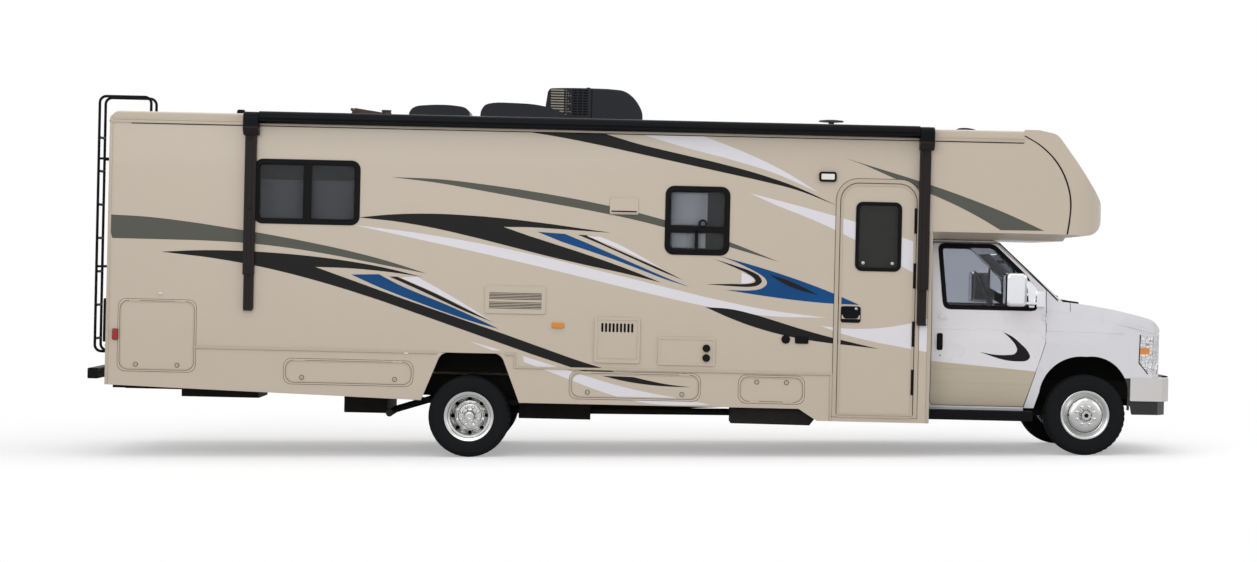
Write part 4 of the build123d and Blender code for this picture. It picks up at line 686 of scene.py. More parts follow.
NO_FILM = {
    # u0, u1, w0, w1, corner: rear window, middle window, door window, fridge vent, wheel arch
    "right": [REAR_HOLE, (238, 830, 1858, 2487, 82), (1977, 2397, 1748, 2380, 62), (-267, -5, 2214, 2365, 12),
              ARCH_HOLE],
    "left": [REAR_HOLE, (-502, 602, 1858, 2487, 82), ARCH_HOLE],
}
print("stripes", len(STRIPES), "panels", len(PANELS))

# %% [markdown]
# ## Cutting the film
# Film stops at every gap, so the same stripe is cut again for each door and hatch that it
# crosses, and each cut rides with its own panel. A constrained triangulation does all of
# the cutting at once: it takes the stripes and panels as outlines, and then each triangle
# is asked which of them it is inside.

# %% Curves and cuts
def curve(points, steps=8):
    """Smooth line through points (centripetal Catmull-Rom)."""
    if len(points) < 3:
        return [Vector(p) for p in points]
    pts = [Vector(p) for p in points]
    pts = [2 * pts[0] - pts[1]] + pts + [2 * pts[-1] - pts[-2]]
    line = []
    for a, b, c, d in zip(pts, pts[1:], pts[2:], pts[3:]):
        ta = 0.0
        tb = ta + max(1e-6, (b - a).length) ** 0.5
        tc = tb + max(1e-6, (c - b).length) ** 0.5
        td = tc + max(1e-6, (d - c).length) ** 0.5
        for i in range(steps):
            t = tb + (tc - tb) * i / steps
            p = a.lerp(b, (t - ta) / (tb - ta))
            q = b.lerp(c, (t - tb) / (tc - tb))
            r = c.lerp(d, (t - tc) / (td - tc))
            near, far = p.lerp(q, (t - ta) / (tc - ta)), q.lerp(r, (t - tb) / (td - tb))
            line.append(near.lerp(far, (t - tb) / (tc - tb)))
    return line + [pts[-2]]


def loop_of(edges):
    """Closed outline from a stripe's edges."""
    line, start = [], []
    for edge in edges:
        edge = start + edge
        line += curve(edge)[:-1]
        start = edge[-1:]
    return line


def inside(point, outline):
    """Even-odd test of a point against an outline."""
    x, y = point
    odd = False
    for (x0, y0), (x1, y1) in zip(outline, outline[1:] + outline[:1]):
        if (y0 > y) != (y1 > y) and x < (x1 - x0) * (y - y0) / (y1 - y0) + x0:
            odd = not odd
    return odd


def cut_film(stripes, panels, holes, wall_edge):
    """Triangles of every film colour on every panel: {(film, body): [triangles]}."""
    loops = [(film, [tuple(p) for p in loop_of(edges)]) for _, film, edges in stripes]
    panel_in = [(body, rounded(*box, r)) for body, *box, r in panels]
    panel_out = [inset(box, -PANEL_GAP, r + PANEL_GAP) for _, *box, r in panels]
    hole_loops = [rounded(*hole) for hole in holes]
    outlines = [line for _, line in loops] + [line for _, line in panel_in] + panel_out + hole_loops
    outlines.append(wall_edge)
    coords, edges = [], []
    for line in outlines:
        start = len(coords)
        coords += [Vector(p) for p in line]
        edges += [(start + i, start + (i + 1) % len(line)) for i in range(len(line))]
    points, _, tris, _, _, _ = delaunay_2d_cdt(coords, edges, [], 0, 0.01)
    cut = {}
    for tri in tris:
        mid = sum((points[i] for i in tri), Vector((0, 0))) / 3
        under = [colour for colour, line in loops if inside(mid, line)]
        if not under or not inside(mid, wall_edge) or any(inside(mid, h) for h in hole_loops):
            continue
        body = next((b for b, line in panel_in if inside(mid, line)), None)
        if body is None and any(inside(mid, line) for line in panel_out):
            continue
        cut.setdefault((under[-1], body or "coach"), []).append([points[i] for i in tri])
    return cut


def film_piece(name, triangles, material, body, y_skin, lift=0.6, thick=0.5, skin=None):
    """Closed thin sheet from triangles on the plane y_skin, or on skin(w) to that side."""
    out = -1 if y_skin < 0 else 1
    verts = [at(u, (out * skin(w) if skin else y_skin) + out * lift, w) for tri in triangles for u, w in tri]
    mesh = bpy.data.meshes.new(name)
    mesh.from_pydata(verts, [], [(i, i + 1, i + 2) for i in range(0, len(verts), 3)])
    work = bmesh.new()
    work.from_mesh(mesh)
    bmesh.ops.remove_doubles(work, verts=work.verts, dist=2e-5)
    bmesh.ops.dissolve_limit(work, angle_limit=0.01, verts=work.verts, edges=work.edges)
    bmesh.ops.recalc_face_normals(work, faces=work.faces)
    for face in work.faces:
        if face.normal.y * out < 0:
            face.normal_flip()
    top = bmesh.ops.extrude_face_region(work, geom=work.faces[:])
    inner = [v for v in top["geom"] if isinstance(v, bmesh.types.BMVert)]
    bmesh.ops.translate(work, verts=inner, vec=Vector((0, -out * (lift + thick) / 1000, 0)))
    bmesh.ops.recalc_face_normals(work, faces=work.faces)
    work.to_mesh(mesh)
    work.free()
    link_mesh(name, mesh, material, body)


print("points on the first stripe", len(loop_of(STRIPES[0][2])))

# %% [markdown]
# ## Laying the film on the right wall
# The wall's own edge is the last outline: from the skirt up to the gutter, and round the
# front of the nose. Each colour becomes one piece per panel, because the film on a door has
# to swing with the door.

# %% Right wall film
WALL_EDGE = [(-4808, 480), (2676, 380), (2676, 2127), (3898, 2127), (3930, 2300), (3850, 2700), (3520, 2950),
             (-4808, 2950)]
films = cut_film(STRIPES, PANELS, NO_FILM["right"], WALL_EDGE)
for (film, body), triangles in sorted(films.items()):
    film_piece(f"stripe_{film}_{body}_right", triangles, vinyl[film], body, -SIDE)
print("films", {key: len(value) for key, value in sorted(films.items())})

# %% [markdown]
# ## Windows
# A coach window is a pane clamped between an outer and an inner aluminium frame, powder
# coated black. The frame stands a few millimetres proud of the wall. Behind the glass hangs
# a pleated grey cloth whose tone is set to the grey reflection seen in the panes, so it is
# a painted reflection. The pleats could be painted on a card; folding one sheet lets each
# of them take its own light. A near-black board behind it stands for the dark of the unlit
# room, and that is painted shade.

# %% Side windows
FRAME = 2.0
REAR_PANES = [(-3450, -3058, 2104, 2462), (-2992, -2590, 2104, 2462)]
REAR_BAR = (-3062, -2988, 2060, 2647)
WINDOWS = [
    # name, side, (u0, u1, w0, w1), bars, dark reflection cloths, pale reflection cloths
    ("rear", -1, (-3510, -2545, 2060, 2647), [REAR_BAR], REAR_PANES, []),
    ("mid", -1, (240, 828, 1860, 2485), [(240, 828, 2062, 2122), (514, 542, 1860, 2090)],
     [], [(284, 625, 2130, 2428), (293, 514, 1922, 2058), (542, 612, 1922, 2058)]),
    ("left_rear", 1, (-3510, -2545, 2060, 2647), [REAR_BAR], REAR_PANES, []),
    ("left_mid", 1, (-500, 600, 1860, 2485), [(20, 80, 1860, 2485)],
     [(-440, 24, 1905, 2300), (76, 540, 1905, 2300)], []),
]


def pleats(u0, u1, w0, w1, side):
    """Cloth behind a window, toned as the reflection in the pane, as one sheet folded into 16 mm pleats."""
    count = max(3, int((w1 - w0) / 16) | 1)
    edge = [(w0 + (w1 - w0) * i / (count - 1), 1 if i % 2 else 0) for i in range(count)]
    verts = [at(u, side * (SIDE - 40 - dip), w) for w, dip in edge for u in (u0, u1)]
    return verts, [(2 * i, 2 * i + 1, 2 * i + 3, 2 * i + 2) for i in range(len(edge) - 1)]


def hang(name, u0, u1, w0, w1, side, material, frame_name):
    made = piece(name, [pleats(u0, u1, w0, w1, side)], material, sharp=20)
    cloth_thickness(made)


for name, side, box, bars, dark_reflection_cloths, pale_reflection_cloths in WINDOWS:
    parts = [frame_on_wall(inset(box, -FRAME, 82), inset(box, 42, 44), 9, 12, side)]
    parts += [brick(a, b, side * (SIDE - 13), side * (SIDE + 6), c, d) for a, b, c, d in bars]
    piece(f"window_frame_{name}", parts, powder_black, bevel_mm=3.0)
    piece(f"window_seal_{name}", [frame_on_wall(inset(box, 41, 44), inset(box, 50, 36), 4, 13, side)],
          seal_rubber)
    # near-black board where the unlit room is only dark: painted shade
    piece(f"window_painted_shade_board_{name}", [on_wall(inset(box, 8, 30), -70, 62, side)], painted_shade_board)
    # pleated cloths whose greys stand for the reflection in the panes: painted reflection
    for tone, material, rows in (("dark", shade, dark_reflection_cloths), ("pale", pale_reflection_cloth, pale_reflection_cloths)):
        for i, row in enumerate(rows):
            hang(f"window_shade_{name}_{tone}_{i + 1}", *row, side, material, f"window_frame_{name}")
latch = [frame_on_wall(rounded(544, 624, 2106, 2186, 39.9, 8), rounded(562, 606, 2124, 2168, 21.9, 8), 6, 14)]
piece("window_latch_mid", latch, powder_black, bevel_mm=2.0)
print("side windows", len(WINDOWS))

# %% [markdown]
# ## Rear window and door window
# The rear wall is drawn in y and w, so its parts get their own function to place them and
# the helpers stay the same. The entry door's window has a wide frame, textured glass and
# two small latches. Near-black boards behind both panes stand for the dark of the unlit
# room, and that is painted shade.

# %% Rear window and door window
def rear_at(y, out, w):
    """Outline drawn in (y, w) on the rear wall; the second value is how far behind it is."""
    return at(BACK - out, y, w)


box = (-420.0, 480.0, 2060.0, 2560.0)
piece("window_frame_back", [ring(inset(box, -FRAME, 82), inset(box, 42, 44), -1, 9, rear_at)], powder_black,
      bevel_mm=2.0)
# near-black board behind the rear pane for the unlit room: painted shade
piece("window_painted_shade_board_back", [slab(inset(box, 8, 30), -72, -62, rear_at)], painted_shade_board, bevel_mm=2.0)
# grey cloth behind the rear pane, toned as the reflection in the glass: painted reflection
piece("window_cloth_painted_reflection_back", [slab(rounded(-360, 420, 2110, 2410, 6), -56, -48, rear_at)], shade, bevel_mm=2.0)

box = (1977, 2397, 1748, 2380)
piece("door_window_frame", [frame_on_wall(inset(box, 0, 62), inset(box, 33, 34), 11)], powder_black,
      "entry_door", bevel_mm=3.0)
# near-black board behind the door glass for the unlit room: painted shade
piece("door_window_painted_shade", [on_wall(inset(box, 8, 40), -52, 46)], painted_shade_board, "entry_door", bevel_mm=2.0)
knob = [(0, 0.1), (0, 15), (-5, 15), (-8, 9), (-8, 0.1)]
piece("door_window_latches", [lathe(knob, (u, -SIDE + 8, 1822), steps=20) for u in (2052, 2318)], anodised,
      "entry_door")
print("window pieces done")

# %% [markdown]
# ## Entry door
# The door leaf sits in a tan aluminium frame. It hangs on a full-height hinge at its front
# edge, and a black paddle handle opens it. The frame could be swept along a path, but two
# nested outlines are simpler: round at the head and nearly square at the sill.

# %% Door frame, handle and hinge
DOOR = PANELS[0][1:5]


def arched(amount, low, top, foot=6, steps=8):
    """Door outline amount outside the leaf, round at the head and nearly square at the sill."""
    u0, u1, w0, w1 = DOOR
    box = (u0 - amount, u1 + amount, w0 + low, w1 + amount)
    head, sill = rounded(*box, top, steps), rounded(*box, foot, steps)
    return head[:2 * (steps + 1)] + sill[2 * (steps + 1):]


piece("door_frame", [frame_on_wall(arched(42, -12, 200), arched(6, 3, 168), 8)], trim_tan, bevel_mm=2.5)
piece("door_frame_shadow_line", [frame_on_wall(arched(46, -15, 204), arched(41, -11, 199), 2)], seal_rubber)
piece("door_rolled_edge", [frame_on_wall(arched(-2, 6, 160), arched(-24, 26, 140), 5)], trim_tan,
      "entry_door", bevel_mm=2.0)
strips = [brick(2510, 2536, -SIDE - 13, -SIDE + 1, a, b)
          for a, b in ((628, 860), (1070, 1300), (1600, 1830), (2100, 2330))]
piece("door_hinge_covers", strips, powder_black, bevel_mm=2.0)
piece("door_handle_plate", [on_wall(rounded(1858, 2040, 1276, 1425, 22), 10)], abs_black, "entry_door",
      bevel_mm=3.0)
piece("door_handle_paddle", [on_wall(rounded(1876, 2022, 1312, 1390, 30), 34, -18)], abs_black, "entry_door",
      bevel_mm=6.0)
piece("door_lock", [lathe([(0, 0.1), (0, 13), (-6, 13), (-8, 10), (-8, 0.1)], (u, -SIDE - 9, w))
                    for u, w in ((1902, 1366), (1998, 1402))], anodised, "entry_door")
piece("door_sill_plate", [on_wall([(1850, 412), (2518, 412), (2518, 424), (1850, 424)], 12)], trim_tan,
      bevel_mm=2.0)
print("entry door done")

# %% [markdown]
# ## Baggage hatches
# Each hatch has a leaf with well-rounded corners, a thin rolled edge and two round latches
# on the side away from its hinge. Small catches on the wall hold it open. The leaf is drawn
# again here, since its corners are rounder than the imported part's, and stands for it.

# %% Hatch leaves, edges, latches and catches
DIAL = [(0, 0.1), (0, 16), (-3, 18), (-6, 16), (-6, 12), (-4, 10), (-4, 0.1)]   # (distance, radius)
for name, u0, u1, w0, w1, corner in PANELS[1:]:
    box, top_hung = (u0, u1, w0, w1), name != "hatch_front"
    hinge_w = w1 + 2 if top_hung else w0 - 2
    latch_w = w0 + 45 if top_hung else w1 - 45
    latches = (u0 + 150, u1 - 150)
    leaf = [slab(inset(box, 0, corner, 8), -SIDE + 30, -SIDE)]
    leaf += [rod([(h - 22, -SIDE - 2, hinge_w), (h + 22, -SIDE - 2, hinge_w)], 6)
             for h in (u0 + 130, u1 - 130)]
    piece(f"{name}_panel", leaf, gelcoat, name, bevel_mm=2.0, stands_for=name)
    piece(f"{name}_frame", [frame_on_wall(inset(box, -16, 70, 8), inset(box, -3, corner + 3, 8), 4)], gelcoat,
          bevel_mm=1.5)
    piece(f"{name}_joint", [frame_on_wall(inset(box, -19, 73, 8), inset(box, -15, 69, 8), 2)], seal_rubber)
    piece(f"{name}_edge", [frame_on_wall(inset(box, 1, corner - 1), inset(box, 12, corner - 10), 4)],
          trim_tan, name, bevel_mm=1.5)
    dials = []
    for u in latches:
        dials.append(lathe(DIAL, (u, -SIDE, latch_w)))
        dials.append(brick(u - 10, u + 10, -SIDE - 3, -SIDE - 8, latch_w - 3, latch_w + 3))
    piece(f"{name}_latches", dials, trim_tan, name, bevel_mm=0.8)
    seats = [(u, u, latch_w, latch_w) for u in latches]
    piece(f"{name}_latch_seats", [frame_on_wall(inset(seat, -22, 21.9, 5), inset(seat, -17, 16.9, 5), 2.5)
                                  for seat in seats], seal_rubber, name)
catches = [on_wall(rounded(u - 20, u + 20, w - 10, w + 10, 9), 14) for u, w in ((-4342, 1400), (-2090, 905))]
piece("hatch_catches", catches, trim_white, bevel_mm=3.0)
print("hatches", len(PANELS) - 1)

# %% [markdown]
# ## Rails and mouldings
# Extruded aluminium covers every joint between panels: a rub rail where the skirt meets the
# wall, a gutter rail at the roof edge, corner rails, and a bead over the joint of the
# moulded nose. A straight length is a long box with softened edges, which draw a thin
# highlight, and only the bead has to follow a curve.

# %% Extrusions on the walls
SEAM = [(3498, 3013), (3640, 2930), (3770, 2810), (3862, 2668), (3919, 2500), (3931, 2380), (3922, 2250),
        (3905, 2124)]
# where the upper rail starts and the lower one ends; the right side has a hatch and a door
RAIL_ENDS = {"right": (-4014, 1784), "left": (-4832, 2676)}
for side, label in SIDES:
    def rail(u0, u1, w0, w1, out, sink=2, side=side):
        """Straight extrusion on this wall."""
        return brick(u0, u1, side * (SIDE - sink), side * (SIDE + out), w0, w1)

    start, end = RAIL_ENDS[label]
    rails = [rail(start, -1812, 905, 931, 12, 3), rail(-1190, -1100, 905, 931, 12, 3),
             rail(-1100, end, 789, 811, 12, 3), rail(-1112, -1090, 789, 931, 12, 3)]
    if label == "right":
        rails.append(rail(1773, 1795, 380, 811, 12, 3))
    piece(f"rub_rails_{label}", rails, trim_tan, bevel_mm=5.0)
    piece(f"gutter_rail_{label}", [rail(-4830, 3500, 2950, 2976, 11), rail(-4830, 3500, 2976, 2992, 6)],
          trim_tan, bevel_mm=4.0)
    # dark strip just under the gutter rail stands for the shadow line it casts: painted shadow
    piece(f"gutter_painted_shadow_{label}", [rail(-4640, 3490, 2942, 2949, 4)], seal_rubber)
    piece(f"corner_rails_{label}", [rail(-4836, -4806, 560, 3000, 7, 3), rail(2650, 2682, 376, 2118, 7, 3)],
          trim_tan, bevel_mm=4.0)
    bead = curve(SEAM, 6)
    strip = [(p.x - 6, p.y - 2) for p in bead] + [(p.x + 7, p.y + 2) for p in reversed(bead)]
    piece(f"nose_joint_bead_{label}", [on_wall(strip, 3, 2, side)], seal_rubber)
piece("nose_roof_joint", [brick(3492, 3506, -1240, 1240, 3054, 3061)], trim_white, bevel_mm=2.0)
print("rails done")

# %% [markdown]
# ## Things on the coach wall
# Two vents cool the fridge, the lower one louvred. A lid hides the water heater, another
# the furnace with its two round exhaust outlets, and beside them sit a socket, a porch lamp
# and marker lamps. Most start as a low box on the wall and then get a lid, screws or slots,
# which are real parts, because a bump would look flat from the side. The slots are dark
# plates that stand for the shade inside them, and so is the dark block behind the louvres:
# painted shade.

# %% Vents, heater and furnace
HEATER, FURNACE = (-380, 36, 860, 1274), (202, 722, 851, 1107)
VENT, VENT_HOLE, UPPER_VENT = (-1385, -830, 1287, 1538), (-1345, -870, 1333, 1477), (-267, -5, 2214, 2365)
BODIES = [
    # name, u0, u1, w0, w1, how far out, corner, finish
    ("water_heater_body", *HEATER, 12, 16, abs_tan),
    ("furnace_body", *FURNACE, 10, 14, abs_tan),
    ("porch_lamp_base", 1633, 1792, 2554, 2645, 34, 24, abs_black),
    ("outlet_box", 1447, 1570, 1074, 1140, 16, 12, abs_black),
    ("marker_base_amber", -774, -657, 1163, 1220, 14, 14, abs_tan),
    ("marker_base_red", -4775, -4718, 968, 1071, 14, 14, abs_black),
]


def screws(box, amount):
    """Pan-head screws in the corners of a box on the right wall."""
    u0, u1, w0, w1 = box
    head = [(0, 0.1), (0, 5), (-1.6, 4.5), (-2.6, 2.5), (-2.6, 0.1)]
    return [lathe(head, (u, -SIDE - 11, w), steps=12) for u in (u0 + amount, u1 - amount)
            for w in (w0 + amount, w1 - amount)]


for name, *box, out, corner, material in BODIES:
    piece(name, [on_wall(rounded(*box, corner), out)], material, bevel_mm=4.0)
piece("fridge_vent_frame", [frame_on_wall(rounded(*VENT, 20), rounded(*VENT_HOLE, 6), 14),
                            brick(-1345, -870, -SIDE + 1, -SIDE - 13, 1393, 1417)], abs_tan, bevel_mm=3.0)
vent_blades = [brick(-1344, -871, -SIDE - 10, -SIDE - 6, w, w + 7)
               for w in (1339, 1353, 1367, 1381, 1423, 1437, 1451, 1465)]
piece("fridge_vent_blades", vent_blades, abs_tan, bevel_mm=0.8)
piece("fridge_vent_shadow", [brick(-1345, -870, -SIDE - 1, -SIDE - 4, 1334, 1476)], painted_shade_board)
piece("fridge_vent_upper", [on_wall(rounded(*UPPER_VENT, 12), 12)], gelcoat, bevel_mm=4.0)
# dark strip standing for the shade in the slot: painted shade
piece("fridge_vent_upper_slot_painted_shade", [on_wall(rounded(-252, -20, 2236, 2248, 5), 13, -11)], seal_rubber)
piece("fridge_vent_upper_lip", [on_wall(rounded(-262, -10, 2222, 2233, 5), 18, -11)], trim_tan, bevel_mm=2.0)
piece("water_heater_lid", [frame_on_wall(rounded(*HEATER, 16), inset(HEATER, 24, 10), 17, -11),
                           on_wall(rounded(-345, 1, 900, 1100, 10), 15, -11)], abs_tan, bevel_mm=2.0)
# dark plates standing for the shade in the slots: painted shade
painted_slot_shades = [on_wall(rounded(-320 + 34 * i, -300 + 34 * i, 1140, 1222, 9), 13.5, -11) for i in range(9)]
piece("water_heater_slots_painted_shade", painted_slot_shades, seal_rubber)
piece("wall_screws", screws((-385, 41, 855, 1279), 24) + screws(VENT, 18) + screws(FURNACE, 12)
      + screws(UPPER_VENT, 14), trim_tan)
piece("furnace_lid", [frame_on_wall(rounded(*FURNACE, 14), inset(FURNACE, 20, 8), 15, -9)], abs_tan,
      bevel_mm=2.0)
outlets = []
for w in (1012, 924):
    outlets.append(lathe([(0, 26), (-18, 26), (-22, 31), (-18, 35), (0, 35)], (642, -SIDE - 9, w), steps=36))
    outlets.append(lathe([(-2, 0.1), (-2, 27), (-5, 27), (-5, 0.1)], (642, -SIDE - 9, w), steps=24))
piece("furnace_outlets", outlets, chassis_paint)
piece("socket_lids", [lathe([(1, 0.1), (1, 40), (-12, 40), (-16, 36), (-16, 30), (-20, 27), (-20, 0.1)],
                            (1363, -SIDE, 1111), steps=40),
                      on_wall(rounded(1455, 1562, 1081, 1133, 10), 22, -15)], abs_black, bevel_mm=2.0)
print("wall fittings", len(BODIES))

# %% [markdown]
# ## Lamps
# A coloured lens sits on each base. The left side has its own two markers, and the rear
# wall its row of clearance lamps with the high brake lamp below. The lamps are off, so a
# glossy colour is enough and none of them needs to shine.

# %% Lamps on the walls
LENSES = [
    # name, u0, u1, w0, w1, corner, from, to (out of the wall), finish, edge
    ("porch_lamp_lens", 1652, 1773, 2573, 2626, 8, 33, 42, white_lens, 4.0),
    ("marker_lamp_amber", -771, -660, 1166, 1217, 14, 14, 22, amber_lens, 5.0),
    ("marker_lamp_red", -4772, -4721, 971, 1068, 14, 14, 22, red_lens, 5.0),
]
for name, *outline, low, high, material, edge in LENSES:
    piece(name, [on_wall(rounded(*outline), high, -low)], material, bevel_mm=edge)
for u, w, material, label in ((-715, 1190, amber_lens, "amber"), (-4746, 1019, red_lens, "red")):
    base = on_wall(rounded(u - 52, u + 52, w - 30, w + 30, 14), 10, -1, 1)
    lens = on_wall(rounded(u - 47, u + 47, w - 25, w + 25, 12), 20, -10, 1)
    piece(f"left_marker_base_{label}", [base], abs_tan, bevel_mm=2.0)
    piece(f"left_marker_lens_{label}", [lens], material, bevel_mm=5.0)
roof_lamps = [slab(rounded(y - 55, y + 55, 2985, 3021, 14), 0.5, 22, rear_at)
              for y in (-1050, -250, 0, 250, 1050)]
piece("rear_clearance_lamps", roof_lamps, red_lens, bevel_mm=5.0)
piece("high_brake_lamp", [slab(rounded(-160, 160, 2905, 2945, 14), 0.5, 18, rear_at)], red_lens, bevel_mm=4.0)
print("lamps", len(LENSES) + 4)

# %% [markdown]
# ## Rear wall
# Black bezels frame the tail lamps. The plate is left blank in its holder, which has a
# small lamp hood over it. Aluminium rails and joints close the edges of the wall.

# %% Bezels, blank plate, rails and joints
lamp_boxes = [(-1220.0, -1110.0, 960, 1330), (1110.0, 1220.0, 960, 1330)]
bezels = [ring(inset(box, -14, 24), inset(box, 4, 16), 0.5, 34, rear_at) for box in lamp_boxes]
piece("tail_lamp_bezels", bezels, abs_black, bevel_mm=3.0)
piece("number_plate_blank", [slab(rounded(-152, 152, 960, 1112, 12), 8, 11, rear_at)], trim_white,
      bevel_mm=0.8)
piece("number_plate_holder", [slab(rounded(-160, 160, 952, 1120, 14), 0.5, 8, rear_at),
                              slab(rounded(-70, 70, 1122, 1146, 8), 0.5, 26, rear_at)], abs_black,
      bevel_mm=2.0)
rails = [brick(-1270, 1270, 0.5, 9, w0, w1, rear_at) for w0, w1 in ((905, 927), (2950, 2974))]
piece("rear_wall_rails", rails, trim_tan, bevel_mm=4.0)
piece("rear_wall_joints", [brick(y - 1.5, y + 1.5, 0.2, 1.4, 560, 3040, rear_at) for y in (-1240, 1240)],
      trim_tan)
print("rear wall done")

# %% [markdown]
# ## Tyres
# A road tyre has ribs with cut grooves, shoulder blocks, and a sidewall with moulded rings.
# It is one outline turned about the axle; where a groove crosses the shoulder, the outline
# is pressed in. A bump could draw the tread, but the shoulder shows in the tyre's outline,
# so it is modelled.

# %% Tyres
AXLE_U, AXLE_Z = {"front": 4162, "rear": -1505}, 0.372
FRONT_Y, INNER_Y, OUTER_Y = 881.0, 860.0, 1120.3
# (distance from the tyre's middle, radius) from the bead up to the tread
HALF_PROFILE = [(-79.5, 207.5), (-79.5, 222.5), (-84, 224.5), (-92, 227), (-97, 232), (-101, 240),
                (-102.5, 243), (-104, 240.5), (-107, 252), (-110, 268), (-111.8, 286), (-111, 305),
                (-108.5, 322), (-110, 325), (-107.5, 330), (-104, 341), (-99.5, 352), (-95, 360), (-88, 366),
                (-76, 370), (-60, 371), (-56, 371), (-54, 363), (-50, 363), (-48, 371.4), (-22, 371.8),
                (-20, 363), (-15, 363), (-13, 371.8)]
INSIDE = [(62, 207.5), (70, 232), (84, 288), (62, 352), (-62, 352), (-84, 288), (-70, 232), (-62, 207.5)]
SHOULDER = range(16, 22)
PRESSED_MM = 7.0


def tyre(centre_y, side, place, steps=168):
    """Tyre about an axle that lies along y."""
    outside = HALF_PROFILE + [(-d, r) for d, r in reversed(HALF_PROFILE)]
    lug = set(SHOULDER) | {len(outside) - 1 - i for i in SHOULDER}
    profile = outside + INSIDE
    verts = []
    for k in range(steps):
        angle = 2 * math.pi * k / steps
        pressed = PRESSED_MM if k % 4 == 3 else 0.0
        for i, (d, r) in enumerate(profile):
            r -= pressed if i in lug else 0.0
            verts.append(place(r * math.cos(angle), side * (centre_y + d), r * math.sin(angle)))
    return verts, turned_faces(steps, len(profile))


def on_axle(axle):
    """Level placing about an axle: millimetres from its centre to shared metres."""
    x = AXLE_U[axle] / 1000 + SHIFT
    return lambda u, y, w: Vector((x + u / 1000, y / 1000, AXLE_Z + w / 1000))


for side, label in SIDES:
    made = piece(f"road_tyre_front_{label}", [tyre(FRONT_Y, side, on_axle("front"))], rubber,
                 f"front_wheel_{label}", sharp=50)
    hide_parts(f"front_tyre_{label}")
    pair = [tyre(y, side, on_axle("rear")) for y in (INNER_Y, OUTER_Y)]
    made = piece(f"road_tyres_rear_{label}", pair, rubber, f"rear_wheels_{label}",
                 sharp=50)
    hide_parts(f"rear_tyres_{label}")
print("tyres done")

# %% [markdown]
# ## Wheel liners
# Steel wheels on this kind of chassis carry polished liners. The front one bulges out like
# a dish; the rear one is deep, with a bright lip. Domed covers hide the eight nuts. A
# liner is spun from sheet on a lathe, and turning its profile does the same in a mesh.

# %% Wheel liners, nuts and caps
FRONT_DISH = [(86, 199.5), (88.5, 213), (91.5, 222.5), (95, 224), (96.5, 221), (92, 208), (88.5, 198),
              (76, 189), (74, 184), (79, 176), (95, 171), (112, 158), (126, 143), (132.5, 128), (133.5, 100),
              (133.5, 60), (131, 60), (130.3, 100), (129.3, 121), (122.5, 141), (107, 158), (90, 172),
              (66, 190), (71, 199)]
FRONT_CAP = [(131, 0.1), (160, 0.1), (180, 20), (181.5, 26), (180, 34), (165, 43), (150, 54), (138, 58),
             (131, 58)]
FRONT_CAP_FACE = [(181, 0.1), (181, 20), (182.6, 20), (183.6, 16), (183.6, 0.1)]
REAR_LIP = [(83, 198), (88, 206), (90.5, 222), (93.5, 226.5), (97, 226), (97, 220), (93, 204), (88, 196),
            (60, 192), (44, 190), (44, 194)]
REAR_DISC = [(0.4, 62), (0.4, 106), (3, 110), (6.5, 107), (7.5, 98), (7.5, 62)]
REAR_CAP = [(0, 0.1), (60, 0.1), (104, 18), (106, 24), (104, 33), (90, 45), (20, 52), (0, 58)]
REAR_DISC_Y, REAR_NUT_Y, REAR_CAP_Y, FRONT_NUT_Y = 1000.6, 1007, 1010, 1012


def nuts(place, side, face_y, radius, length, count=8, size=15.5, corners=12):
    """Domed hexagon covers on a circle about the axle."""
    levels = [(0, size), (length * 0.72, size), (length * 0.93, size * 0.72), (length, size * 0.35)]
    parts = []
    for k in range(count):
        a = 2 * math.pi * (k + 0.5) / count
        cu, cw = radius * math.cos(a), radius * math.sin(a)
        verts = []
        for d, r in levels:
            for j in range(corners):
                b = 2 * math.pi * j / corners
                flat = r * (0.93 if j % 2 else 1.0)
                verts.append(place(cu + flat * math.cos(b), side * (face_y + d), cw + flat * math.sin(b)))
        parts.append((verts, tube_faces(len(levels), corners)))
    return parts


def turned_ring(profile, side, base_y, place, steps=96):
    """Turned part whose (outward distance, radius) profile starts at base_y."""
    return [lathe([(side * (base_y + d), r) for d, r in profile], (0, 0, 0), steps=steps, place=place)]


for side, label in SIDES:
    place, body = on_axle("front"), f"front_wheel_{label}"
    piece(f"front_liner_{label}", turned_ring(FRONT_DISH, side, 881, place), polished, body, sharp=50)
    piece(f"front_cap_{label}", turned_ring(FRONT_CAP, side, 881, place), polished, body, sharp=50)
    piece(f"front_nuts_{label}", nuts(place, side, FRONT_NUT_Y, 84, 32), chrome, body, sharp=40)
    piece(f"front_cap_face_{label}", turned_ring(FRONT_CAP_FACE, side, 881, place, 32), abs_black, body)
    place, body = on_axle("rear"), f"rear_wheels_{label}"
    piece(f"rear_lip_{label}", turned_ring(REAR_LIP, side, OUTER_Y, place), polished, body, sharp=50)
    piece(f"rear_disc_{label}", turned_ring(REAR_DISC, side, REAR_DISC_Y, place), polished, body, sharp=50)
    piece(f"rear_nuts_{label}", nuts(place, side, REAR_NUT_Y, 82.5, 40), chrome, body, sharp=40)
    piece(f"rear_cap_{label}", turned_ring(REAR_CAP, side, REAR_CAP_Y, place, 64), polished, body, sharp=50)
print("wheel pieces done")

# %% [markdown]
# ## The van cab
# The cab is pressed steel. Its doors bulge a little below the glass and lean in above it, so
# trim is drawn from the side and laid on that curve. `cab_half` gives the half width at a
# height and `on_cab` turns a depth off the skin into a place. A shrinkwrap modifier would
# follow the skin as well, but the formula keeps every depth exact.

